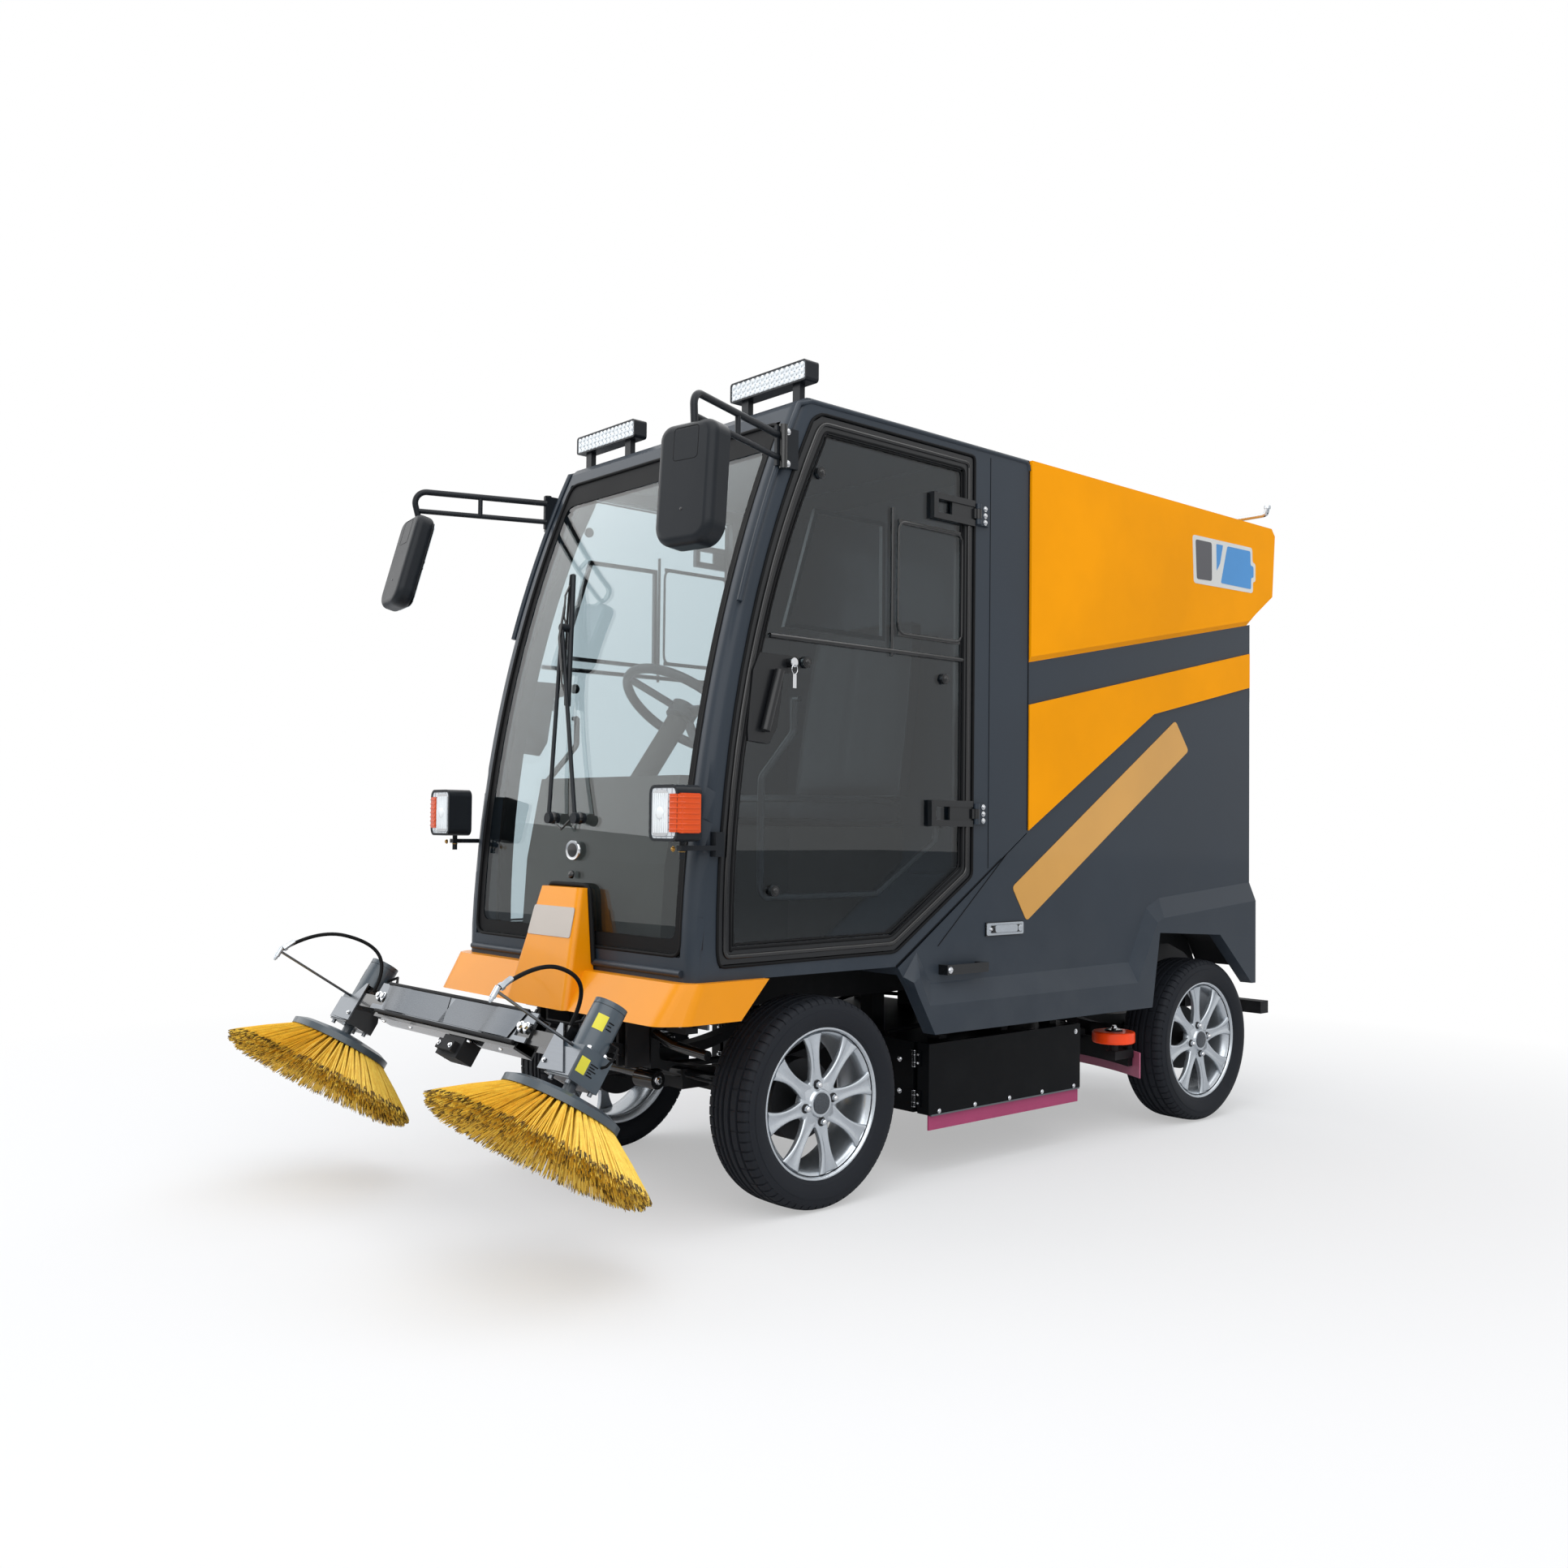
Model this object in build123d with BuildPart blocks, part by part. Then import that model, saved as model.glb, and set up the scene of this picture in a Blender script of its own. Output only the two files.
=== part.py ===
from build123d import *
import os
from math import cos, radians, sin

# Compact electric road sweeper. Millimetres, +Z up, the floor at z = 0.
# The vehicle faces -Y and its left side is +X. The origin is on the floor, under the
# middle of the overall box. Side-view stations are counted rearwards from the front axle.

os.makedirs("parts", exist_ok=True)

# ---- running gear ----
wheel_radius = 277.0
tyre_width = 165.0
rim_seat_radius = 178.0
rim_flange_radius = 198.0
wheelbase = 1807.0
wheel_centre_x = 455.5
kingpin_x = 345.0
spindle_radius = 20.0
kingpin_radius = 12.0
running_fit = 0.05            # radial clearance of every shaft in its bore
bolt_circle = 100.0
bolt_count = 4
bolt_hole_radius = 6.5
spoke_count = 8

# ---- chassis ----
rail_centre_x = 190.0
rail_width = 50.0
rail_bottom = 500.0
rail_top = 580.0
rail_front = -400.0
rail_rear = 2236.0
bumper_depth = 53.0
bumper_bottom = 330.0
bumper_top = 375.0
bumper_hole_spacing = 300.0
bumper_hole_radius = 6.5

# ---- cab ----
cab_half_width = 538.0
cab_wall = 35.0
pillar_radius = 34.0
cab_bottom = 620.0
roof_top = 2115.0
cab_rear = 820.0
seam_low = (256.0, 620.0)     # the cab's floor rises rearwards from here
seam_high = (820.0, 990.0)
door_gap = 8.0
door_thickness = 34.0
door_frame_width = 42.0
glass_thickness = 6.0
screen_inset = 48.0           # the windscreen ends this far inside the cab's sides
screen_bottom = 678.0
screen_top = 2052.0

# ---- rear body ----
body_half = cab_half_width - 4
body_wall = 20.0
body_rear = 2095.0
flare_proud = 26.0
hopper_proud = 12.0           # the hopper's sides and the side bands stand out from the body
hopper_bevel = 16.0
band_proud = 8.0
hopper_wall = 14.0
seam_gap = 4.0
deck_floor = 680.0            # under side of the body's floor

# ---- front brushes, counted from the lift pivot in the frame of the lowered brushes ----
lift_pivot = (-366.0, 400.0)  # (station, height)
lift_angle = 32.3             # how far the parked position is raised
brush_x = 561.0
brush_behind_pivot = -384.0
brush_disc_height = -252.0
brush_disc_radius = 142.0
brush_tip_radius = 276.0
bristle_drop = 148.0
motor_radius = 40.0
motor_top = 235.0
bristle_edge = 22.0           # height of the bristles' outer edge

# ---- the origin stands midway between the front bristles and the bumper's rear face ----
front_end = (lift_pivot[0] + (brush_behind_pivot - brush_tip_radius) * cos(radians(lift_angle))
             + (brush_disc_height - bristle_drop + bristle_edge) * sin(radians(lift_angle)))
rear_end = rail_rear + bumper_depth
front_axle_y = -(front_end + rear_end) / 2
rear_axle_y = front_axle_y + wheelbase


def from_axle(points):
    """Side-view points (station behind the front axle, height) as part (y, z)."""
    return [(front_axle_y + station, height) for station, height in points]


def at_station(station):
    return front_axle_y + station


def prism(points, x_from, x_to, mode=Mode.ADD):
    """A closed side-view outline carried across the vehicle."""
    with BuildSketch(Plane.YZ.offset(x_from)) as outline:
        with BuildLine():
            Polyline(*points, close=True)
        make_face()
    return extrude(outline.sketch, amount=x_to - x_from, mode=mode)


def block(x, y, z, mode=Mode.ADD):
    """A box between three pairs of limits."""
    with Locations(((x[0] + x[1]) / 2, (y[0] + y[1]) / 2, (z[0] + z[1]) / 2)):
        return Box(x[1] - x[0], y[1] - y[0], z[1] - z[0], mode=mode)


def rod_x(x, y, z, radius, mode=Mode.ADD):
    with Locations(((x[0] + x[1]) / 2, y, z)):
        return Cylinder(radius, x[1] - x[0], rotation=(0, 90, 0), mode=mode)


def rod_y(x, y, z, radius, mode=Mode.ADD):
    with Locations((x, (y[0] + y[1]) / 2, z)):
        return Cylinder(radius, y[1] - y[0], rotation=(90, 0, 0), mode=mode)


def rod_z(x, y, z, radius, mode=Mode.ADD):
    with Locations((x, y, (z[0] + z[1]) / 2)):
        return Cylinder(radius, z[1] - z[0], mode=mode)


def on_side(side, near, far):
    """The pair of x limits from near to far on the left (1) or the right (-1)."""
    return sorted((side * near, side * far))


def bent_rod(points, bends, radius):
    """A round bar along straight runs joined by arcs."""
    with BuildLine() as path:
        FilletPolyline(*points, radius=bends)
    with BuildSketch(Plane(origin=path.line @ 0, z_dir=path.line % 0)) as section:
        Circle(radius)
    return sweep(section.sketch, path=path.line)


def straight_rod(start, end, radius):
    """A round bar between two points."""
    way = Vector(*end) - Vector(*start)
    with BuildSketch(Plane(origin=start, z_dir=way)) as section:
        Circle(radius)
    return extrude(section.sketch, amount=way.length)


def save(name, part):
    part.label = name
    export_step(part, f"parts/{name}.step")


# ---------------------------------------------------------------- wheels
rim_half = 62.0
flange_thickness = 6.0
barrel_wall = 8.0
hub_face = 54.0               # the bolted face, outwards from the wheel's middle
disc_thickness = 16.0
hub_radius = 66.0
spoke_rise = 8.0              # the spokes reach further out at the flange than at the hub
window_shape = ((78.0, 15.0), (112.0, 35.0), (158.0, 43.0))     # (radius, half width)
window_corner = 11.0
wheel_turn = -10.0            # how far the wheels have rolled
cap_radius = 34.0
cap_rise = 10.0
hub_inner = -8.0
hub_bore_end = 6.0            # the cap's thickness over the spindle
bead_height = 2.0
shoulder_drop = 13.0
crown_drop = 2.0


def build_tyre(axle_y):
    """Road tyre on the +X side: rounded shoulders, side walls and a flat bead seat."""
    axle = Axis((0, axle_y, wheel_radius), (1, 0, 0))
    section = Plane(origin=(wheel_centre_x, axle_y, wheel_radius), x_dir=(1, 0, 0), z_dir=(0, -1, 0))
    half = tyre_width / 2
    bead_top = rim_flange_radius + bead_height
    belly = (half, (rim_seat_radius + wheel_radius) / 2 + 8)
    shoulder = (half - 8, wheel_radius - shoulder_drop)
    edge = (half - 22, wheel_radius - crown_drop)
    with BuildPart() as tyre:
        with BuildSketch(section):
            with BuildLine():
                Line((rim_half, rim_seat_radius), (rim_half, bead_top))
                ThreePointArc((rim_half, bead_top), belly, shoulder)
                ThreePointArc(shoulder, (half - 13, wheel_radius - 5), edge)
                ThreePointArc(edge, (0, wheel_radius), (-edge[0], edge[1]))
                ThreePointArc((-edge[0], edge[1]), (13 - half, wheel_radius - 5), (-shoulder[0], shoulder[1]))
                ThreePointArc((-shoulder[0], shoulder[1]), (-belly[0], belly[1]), (-rim_half, bead_top))
                Line((-rim_half, bead_top), (-rim_half, rim_seat_radius))
                Line((-rim_half, rim_seat_radius), (rim_half, rim_seat_radius))
            make_face()
        revolve(axis=axle)
    return tyre.part


def build_rim(axle_y):
    """Eight-spoke alloy rim on the +X side, with the hub it turns on."""
    axle = Axis((0, axle_y, wheel_radius), (1, 0, 0))
    section = Plane(origin=(wheel_centre_x, axle_y, wheel_radius), x_dir=(1, 0, 0), z_dir=(0, -1, 0))
    back = Plane(origin=(wheel_centre_x + hub_face - disc_thickness, axle_y, wheel_radius),
                 x_dir=(0, 1, 0), z_dir=(1, 0, 0))
    flange = rim_half + flange_thickness
    barrel_inner = rim_seat_radius - barrel_wall
    disc_edge = rim_seat_radius - barrel_wall / 2
    windows_at = 360 / spoke_count / 2 + wheel_turn
    with BuildPart() as rim:
        with BuildSketch(section):
            with BuildLine():
                Polyline((-flange, rim_flange_radius), (-rim_half, rim_flange_radius),
                         (-rim_half, rim_seat_radius), (rim_half, rim_seat_radius),
                         (rim_half, rim_flange_radius), (flange, rim_flange_radius),
                         (flange, barrel_inner), (-flange, barrel_inner), close=True)
            make_face()
        revolve(axis=axle)
        with BuildSketch(section):
            with BuildLine():
                Polyline((hub_face - disc_thickness, 0), (hub_face, 0), (hub_face, hub_radius),
                         (hub_face + spoke_rise, disc_edge),
                         (hub_face + spoke_rise - disc_thickness, disc_edge),
                         (hub_face - disc_thickness, hub_radius), close=True)
            make_face()
        revolve(axis=axle)
        with BuildSketch(back) as windows:
            with PolarLocations(0, spoke_count, start_angle=windows_at):
                Polygon(*[(radius, -half) for radius, half in window_shape],
                        *[(radius, half) for radius, half in reversed(window_shape)], align=None)
            fillet(windows.vertices(), radius=window_corner)
        extrude(amount=disc_thickness + spoke_rise, mode=Mode.SUBTRACT)
        rod_x((wheel_centre_x + hub_inner, wheel_centre_x + hub_face + cap_rise),
              axle_y, wheel_radius, cap_radius)
        rod_x((wheel_centre_x + hub_inner - 1, wheel_centre_x + hub_face - hub_bore_end),
              axle_y, wheel_radius, spindle_radius + running_fit, mode=Mode.SUBTRACT)
        with Locations(back.offset(disc_thickness)):
            with PolarLocations(bolt_circle / 2, bolt_count, start_angle=wheel_turn):
                Hole(bolt_hole_radius, depth=disc_thickness)
    return rim.part


for axle_name, axle_y in (("front", front_axle_y), ("rear", rear_axle_y)):
    tyre_left = build_tyre(axle_y)
    rim_left = build_rim(axle_y)
    save(f"tyre_{axle_name}_left", tyre_left)
    save(f"rim_{axle_name}_left", rim_left)
    save(f"tyre_{axle_name}_right", mirror(tyre_left, about=Plane.YZ))
    save(f"rim_{axle_name}_right", mirror(rim_left, about=Plane.YZ))

# ---------------------------------------------------------------- axles, springs and knuckles
axle_eye_radius = 26.0
axle_eye_half = 34.0
axle_beam_half = 27.0
axle_beam_rise = 24.0         # the beam's top and bottom, from the wheel's middle
thrust_gap = 1.0
ear_thickness = 14.0
ear_half = 24.0
spine_thickness = 14.0
spine_offset = 30.0           # from the kingpin to the spine's inner face
spine_half_width = 30.0
steering_arm_length = 120.0
steering_arm_depth = 16.0
drum_radius = 108.0
drum_inner = 66.0             # inwards from the wheel's middle
drum_outer = 14.0
spindle_end = wheel_centre_x + hub_face - 10
spring_half = 330.0
spring_thickness = 22.0
spring_stack = 14.0           # extra leaves at the spring's middle
spring_rise = 70.0
hanger_half = 14.0
casing_radius = 34.0
casing_end = 85.0
differential_radius = 88.0
motor_length = 330.0
drive_motor_radius = 84.0
axle_flange_radius = 40.0

with BuildPart() as front_axle:
    block((-kingpin_x, kingpin_x), (front_axle_y - axle_beam_half, front_axle_y + axle_beam_half),
          (wheel_radius - axle_beam_rise, wheel_radius + axle_beam_rise))
    for side in (-1, 1):
        rod_z(side * kingpin_x, front_axle_y,
              (wheel_radius - axle_eye_half, wheel_radius + axle_eye_half), axle_eye_radius)
    for side in (-1, 1):
        rod_z(side * kingpin_x, front_axle_y,
              (wheel_radius - axle_eye_half - 1, wheel_radius + axle_eye_half + 1),
              kingpin_radius + running_fit, mode=Mode.SUBTRACT)


def rail_edges(side):
    return on_side(side, rail_centre_x - rail_width / 2, rail_centre_x + rail_width / 2)


def build_spring(axle_y, side):
    """One leaf spring with its clamp and the two hangers that hold it under the rail."""
    x = rail_edges(side)
    low = wheel_radius + axle_beam_rise
    high = low + spring_rise
    front, rear = axle_y - spring_half, axle_y + spring_half
    with BuildSketch(Plane.YZ.offset(x[0])) as leaf:
        with BuildLine():
            ThreePointArc((front, high), (axle_y, low), (rear, high))
            Line((rear, high), (rear, high + spring_thickness))
            ThreePointArc((rear, high + spring_thickness), (axle_y, low + spring_thickness + spring_stack),
                          (front, high + spring_thickness))
            Line((front, high + spring_thickness), (front, high))
        make_face()
    extrude(leaf.sketch, amount=rail_width)
    for hanger_y in (front + hanger_half, rear - hanger_half):
        block(x, (hanger_y - hanger_half, hanger_y + hanger_half), (high - 10, rail_bottom))


with BuildPart() as front_springs:
    for side in (-1, 1):
        build_spring(front_axle_y, side)
save("front_axle", front_axle.part)
save("front_springs", front_springs.part)

with BuildPart() as rear_axle:
    rod_x((-spindle_end, spindle_end), rear_axle_y, wheel_radius, spindle_radius)
    rod_x((casing_end - wheel_centre_x, wheel_centre_x - casing_end), rear_axle_y, wheel_radius,
          casing_radius)
    for side in (-1, 1):
        rod_x(on_side(side, wheel_centre_x - drum_inner, wheel_centre_x - drum_outer),
              rear_axle_y, wheel_radius, drum_radius)
        rod_x(on_side(side, wheel_centre_x - casing_end - 5, wheel_centre_x - drum_inner + 6),
              rear_axle_y, wheel_radius, axle_flange_radius)
        block(rail_edges(side), (rear_axle_y - axle_flange_radius, rear_axle_y + axle_flange_radius),
              (wheel_radius, wheel_radius + axle_beam_rise))
    with Locations((0, rear_axle_y, wheel_radius)):
        Sphere(differential_radius)
    rod_y(0, (rear_axle_y, rear_axle_y + motor_length), wheel_radius + 20, drive_motor_radius)
    for side in (-1, 1):
        build_spring(rear_axle_y, side)
save("rear_axle", rear_axle.part)

with BuildPart() as knuckle_left:
    spine = (kingpin_x + spine_offset, kingpin_x + spine_offset + spine_thickness)
    spine_half = axle_eye_half + thrust_gap + ear_thickness
    for side in (-1, 1):
        ear = sorted((wheel_radius + side * (axle_eye_half + thrust_gap), wheel_radius + side * spine_half))
        block((kingpin_x - ear_half, spine[1]), (front_axle_y - ear_half, front_axle_y + ear_half), ear)
    block(spine, (front_axle_y - spine_half_width, front_axle_y + spine_half_width),
          (wheel_radius - spine_half, wheel_radius + spine_half))
    rod_z(kingpin_x, front_axle_y, (wheel_radius - spine_half, wheel_radius + spine_half), kingpin_radius)
    rod_x((spine[0], spindle_end), front_axle_y, wheel_radius, spindle_radius)
    rod_x((wheel_centre_x - drum_inner, wheel_centre_x - drum_outer), front_axle_y, wheel_radius, drum_radius)
    block(spine, (front_axle_y, front_axle_y + steering_arm_length),
          (wheel_radius - spine_half, wheel_radius - spine_half + steering_arm_depth))
save("knuckle_left", knuckle_left.part)
save("knuckle_right", mirror(knuckle_left.part, about=Plane.YZ))

# ---------------------------------------------------------------- chassis frame
bumper_half = cab_half_width - 38
cab_post_stations = (-170.0, 190.0)
body_post_stations = (900.0, 1400.0, 2000.0)
cross_member_stations = (-380.0, 330.0, 1180.0, 2130.0)
post_half = 30.0
cross_member_half = 20.0
bumper_post_depth = 50.0
cheek_thickness = 10.0
cheek_reach = 30.0            # below and behind the lift pivot
cheek_front = -406.0

with BuildPart() as chassis_frame:
    for side in (-1, 1):
        x = rail_edges(side)
        block(x, (at_station(rail_front), at_station(rail_rear)), (rail_bottom, rail_top))
        for stations, seat in ((cab_post_stations, cab_bottom), (body_post_stations, deck_floor)):
            for station in stations:
                block(x, (at_station(station) - post_half, at_station(station) + post_half), (rail_top, seat))
        block(x, (at_station(rail_rear) - bumper_post_depth, at_station(rail_rear)),
              (bumper_bottom, rail_bottom))
    for station in cross_member_stations:
        block((-rail_centre_x, rail_centre_x),
              (at_station(station) - cross_member_half, at_station(station) + cross_member_half),
              (rail_bottom + 10, rail_top - 10))
    block((-bumper_half, bumper_half), (at_station(rail_rear), at_station(rear_end)),
          (bumper_bottom, bumper_top))
    for side in (-1, 1):
        rod_y(side * bumper_hole_spacing / 2, (at_station(rail_rear) - 1, at_station(rear_end) + 1),
              (bumper_bottom + bumper_top) / 2, bumper_hole_radius, mode=Mode.SUBTRACT)
        for inner in (rail_edges(side)[0], rail_edges(side)[1] - cheek_thickness):
            block((inner, inner + cheek_thickness),
                  (at_station(cheek_front), at_station(lift_pivot[0] + cheek_reach)),
                  (lift_pivot[1] - cheek_reach, rail_bottom + 10))
        rod_x(rail_edges(side), at_station(lift_pivot[0]), lift_pivot[1], kingpin_radius)
save("chassis_frame", chassis_frame.part)

# ---------------------------------------------------------------- cab
screen_half = cab_half_width - screen_inset
cab_nose_low = (-452.0, cab_bottom)
cab_nose_mid = (-373.0, 1340.0)
cab_nose_high = (-128.0, 2090.0)
roof_front = -96.0
door_rear = 562.0
door_top = 2076.0
door_bottom = 660.0
door_front_low = (-369.0, 690.0)
door_front_mid = (-303.0, 1380.0)
door_front_high = (-72.0, 2056.0)
door_roof_front = -42.0
door_sill_front = -361.0
door_corner_low = (250.0, 666.0)
door_corner_high = (562.0, 866.0)
hinge_axis_x = cab_half_width + 10
hinge_station = 575.0
hinge_heights = (1042.0, 1912.0)
hinge_pin_radius = 5.0
hinge_barrel_radius = 9.0
hinge_leaf_half = 30.0
hinge_leaf_thickness = 8.0
hinge_knuckle = 15.0          # half the length of the moving barrel
hinge_arm_length = 190.0
hinge_arm_half = 14.0
hinge_bar_half = 9.0
hinge_spread = 28.0           # the arm's two bars stand this far above and below its middle
screen_box = (at_station(-600), at_station(-60))


def cab_side(inset=0.0):
    """Side outline of the cab, drawn in by inset."""
    low, mid, high = from_axle([cab_nose_low, cab_nose_mid, cab_nose_high])
    rest = from_axle([cab_nose_high, (roof_front, roof_top), (cab_rear, roof_top), seam_high, seam_low,
                      cab_nose_low])
    with BuildSketch(Plane.YZ) as side:
        with BuildLine():
            ThreePointArc(low, mid, high)
            Polyline(*rest)
        make_face()
        if inset:
            offset(amount=-inset, mode=Mode.REPLACE)
    return side.sketch


def door_side(grow=0.0):
    """Side outline of the door, grown by grow; its front edge follows the pillar."""
    low, mid, high = from_axle([door_front_low, door_front_mid, door_front_high])
    rest = from_axle([door_front_high, (door_roof_front, door_top), (door_rear, door_top), door_corner_high,
                      door_corner_low, (door_sill_front, door_bottom), door_front_low])
    with BuildSketch(Plane.YZ) as side:
        with BuildLine():
            ThreePointArc(low, mid, high)
            Polyline(*rest)
        make_face()
        if grow:
            offset(amount=grow, kind=Kind.INTERSECTION, mode=Mode.REPLACE)
    return side.sketch


def across(sketch, x_from, x_to, mode=Mode.ADD):
    """Carry a side outline from one distance off the centre plane to another."""
    placed = [Pos(x_from, 0, 0) * face for face in sketch.faces()]
    return extrude(placed, amount=x_to - x_from, dir=(1, 0, 0), mode=mode)


with BuildPart() as cab_frame:
    across(cab_side(), -cab_half_width, cab_half_width)
    fillet(cab_frame.edges().filter_by(GeomType.CIRCLE), radius=pillar_radius)
    across(cab_side(cab_wall), cab_wall - cab_half_width, cab_half_width - cab_wall, mode=Mode.SUBTRACT)
    across(door_side(door_gap), -cab_half_width - 1, cab_half_width + 1, mode=Mode.SUBTRACT)
    block((-screen_half, screen_half), screen_box, (screen_bottom, screen_top), mode=Mode.SUBTRACT)
    hinge_y = at_station(hinge_station)
    for side in (-1, 1):
        leaf = on_side(side, cab_half_width, cab_half_width + hinge_leaf_thickness)
        for height in hinge_heights:
            block(leaf, (hinge_y + 12, hinge_y + 50), (height - hinge_leaf_half, height + hinge_leaf_half))
            for end in (-1, 1):
                knuckle = sorted((height + end * hinge_knuckle, height + end * hinge_leaf_half))
                rod_z(side * hinge_axis_x, hinge_y, knuckle, hinge_barrel_radius)
                block(leaf, (hinge_y, hinge_y + 14), knuckle)
            rod_z(side * hinge_axis_x, hinge_y, (height - hinge_leaf_half, height + hinge_leaf_half),
                  hinge_pin_radius)
save("cab_frame", cab_frame.part)

screen_setback = 6.0
with BuildPart() as windscreen:
    across(cab_side(screen_setback), -screen_half, screen_half)
    across(cab_side(screen_setback + glass_thickness), -screen_half - 1, screen_half + 1, mode=Mode.SUBTRACT)
    block((-screen_half, screen_half), screen_box, (screen_bottom, screen_top), mode=Mode.INTERSECT)
save("windscreen", windscreen.part)

door_outer = cab_half_width - 1
door_inner_x = door_outer - door_thickness
glass_outer_x = door_outer - 4
glass_inner_x = glass_outer_x - glass_thickness
knob_radius = 15.0
knob_height = 9.0
knob_places = ((-45.0, 1927.0), (-89.0, 1425.0), (445.0, 1423.0), (-191.0, 837.0))
guard_radius = 9.0
guard_bend = 28.0
guard_stand_off = 22.0        # from the glass to the tube's middle
guard_route = ((-101.0, 1330.0), (-101.0, 1245.0), (-210.0, 1125.0), (-210.0, 818.0), (209.0, 819.0),
               (448.0, 966.0), (448.0, 1004.0))
pane_frame = ((-52.0, 1834.0), (211.0, 1837.0), (213.0, 1510.0), (-157.0, 1512.0))
pane_bar = 12.0
handle_plate = ((-250.0, 1437.0), (-125.0, 1437.0), (-125.0, 1400.0), (-169.0, 1388.0), (-190.0, 1250.0),
                (-217.0, 1208.0), (-286.0, 1214.0), (-288.0, 1242.0), (-272.0, 1390.0))
handle_thickness = 8.0
grip_low = (-238.0, 1240.0)
grip_high = (-192.0, 1395.0)
grip_radius = 13.0
lock_place = (-150.0, 1418.0)
lock_radius = 12.0


def build_door():
    """The left door: frame, hinge arms, window bars, handle, knobs and guard tube."""
    with BuildPart() as door:
        across(door_side(), door_inner_x, door_outer)
        across(door_side(-door_frame_width), door_inner_x - 1, door_outer + 1, mode=Mode.SUBTRACT)
        hinge_y = at_station(hinge_station)
        arm_rear = hinge_y - 14
        for height in hinge_heights:
            for bar in (height - hinge_spread, height + hinge_spread):
                block((glass_outer_x, hinge_axis_x), (hinge_y - hinge_arm_length, arm_rear),
                      (bar - hinge_bar_half, bar + hinge_bar_half))
            block((glass_outer_x, hinge_axis_x),
                  (hinge_y - hinge_arm_length, hinge_y - hinge_arm_length + 2 * hinge_bar_half),
                  (height - hinge_spread, height + hinge_spread))
            block((door_outer, hinge_axis_x - 4), (hinge_y - 110, arm_rear),
                  (height - hinge_spread, height + hinge_spread))
            rod_z(hinge_axis_x, hinge_y, (height - hinge_arm_half, height + hinge_arm_half),
                  hinge_barrel_radius)
            block((door_outer + 3, hinge_axis_x + 2), (arm_rear - 6, hinge_y),
                  (height - hinge_arm_half, height + hinge_arm_half))
            rod_z(hinge_axis_x, hinge_y, (height - hinge_knuckle, height + hinge_knuckle),
                  hinge_pin_radius + running_fit, mode=Mode.SUBTRACT)
        # black knobs bolted through the glass
        for station, height in knob_places:
            rod_x((glass_outer_x, glass_outer_x + knob_height), at_station(station), height, knob_radius)
        # guard tube inside the glass, bolted on at its two ends and its lower front corner
        tube_x = glass_inner_x - guard_stand_off
        bent_rod([(tube_x, *point) for point in from_axle(guard_route)], guard_bend, guard_radius)
        for station, height in (guard_route[0], guard_route[-1], knob_places[3]):
            rod_x((tube_x, glass_inner_x), at_station(station), height, guard_radius - 2)
        # bars of the sliding window
        corners = from_axle(pane_frame)
        with BuildSketch(Plane.YZ.offset(glass_inner_x - pane_bar)) as bars:
            with BuildLine():
                Polyline(*corners, close=True)
            make_face()
            offset(amount=-pane_bar, mode=Mode.SUBTRACT)
        extrude(bars.sketch, amount=pane_bar)
        # outside handle with its grip and lock
        prism(from_axle(handle_plate), glass_outer_x, glass_outer_x + handle_thickness)
        grip_x = glass_outer_x + handle_thickness + grip_radius - 3
        straight_rod((grip_x, *from_axle([grip_low])[0]), (grip_x, *from_axle([grip_high])[0]), grip_radius)
        rod_x((glass_outer_x, glass_outer_x + 26), at_station(lock_place[0]), lock_place[1], lock_radius)
    return door.part


door_left = build_door()
save("door_left", door_left)
save("door_right", mirror(door_left, about=Plane.YZ))

with BuildPart() as door_glass_left:
    across(door_side(-door_frame_width), glass_inner_x, glass_outer_x)
save("door_glass_left", door_glass_left.part)
save("door_glass_right", mirror(door_glass_left.part, about=Plane.YZ))

# ---------------------------------------------------------------- inside the cab
floor_top = cab_bottom + cab_wall
pan_thickness = 6.0
pan_front = -390.0
pan_rear = 240.0
seat_front = 130.0
seat_rear = 600.0
seat_half = 235.0
seat_height = 1000.0
seat_box_wall = 30.0
seat_box_wall_drop = 16.0     # how far the hollow's underside lies lower than the box's at its rear
seat_box_rear_drop = 100.0    # the box's rear foot ends this far under the cushion
seat_box_slope_end = (600.0, 900.0)    # its underside rises from the pan's rear edge along this line
cushion_gap = 0.3
cushion_thickness = 95.0
back_height = 545.0
back_thickness = 90.0
back_lean = 80.0
dash_front = -395.0
dash_rear = -190.0
dash_half = 330.0
dash_top = 1130.0
dash_wall = 20.0
dash_knee = 960.0
dash_toe = 900.0
wheel_rim_radius = 185.0
wheel_grip_radius = 14.0
column_base = (-250.0, 1080.0)
column_top = (-70.0, 1330.0)
column_radius = 32.0
column_shaft_radius = 10.0

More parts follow.
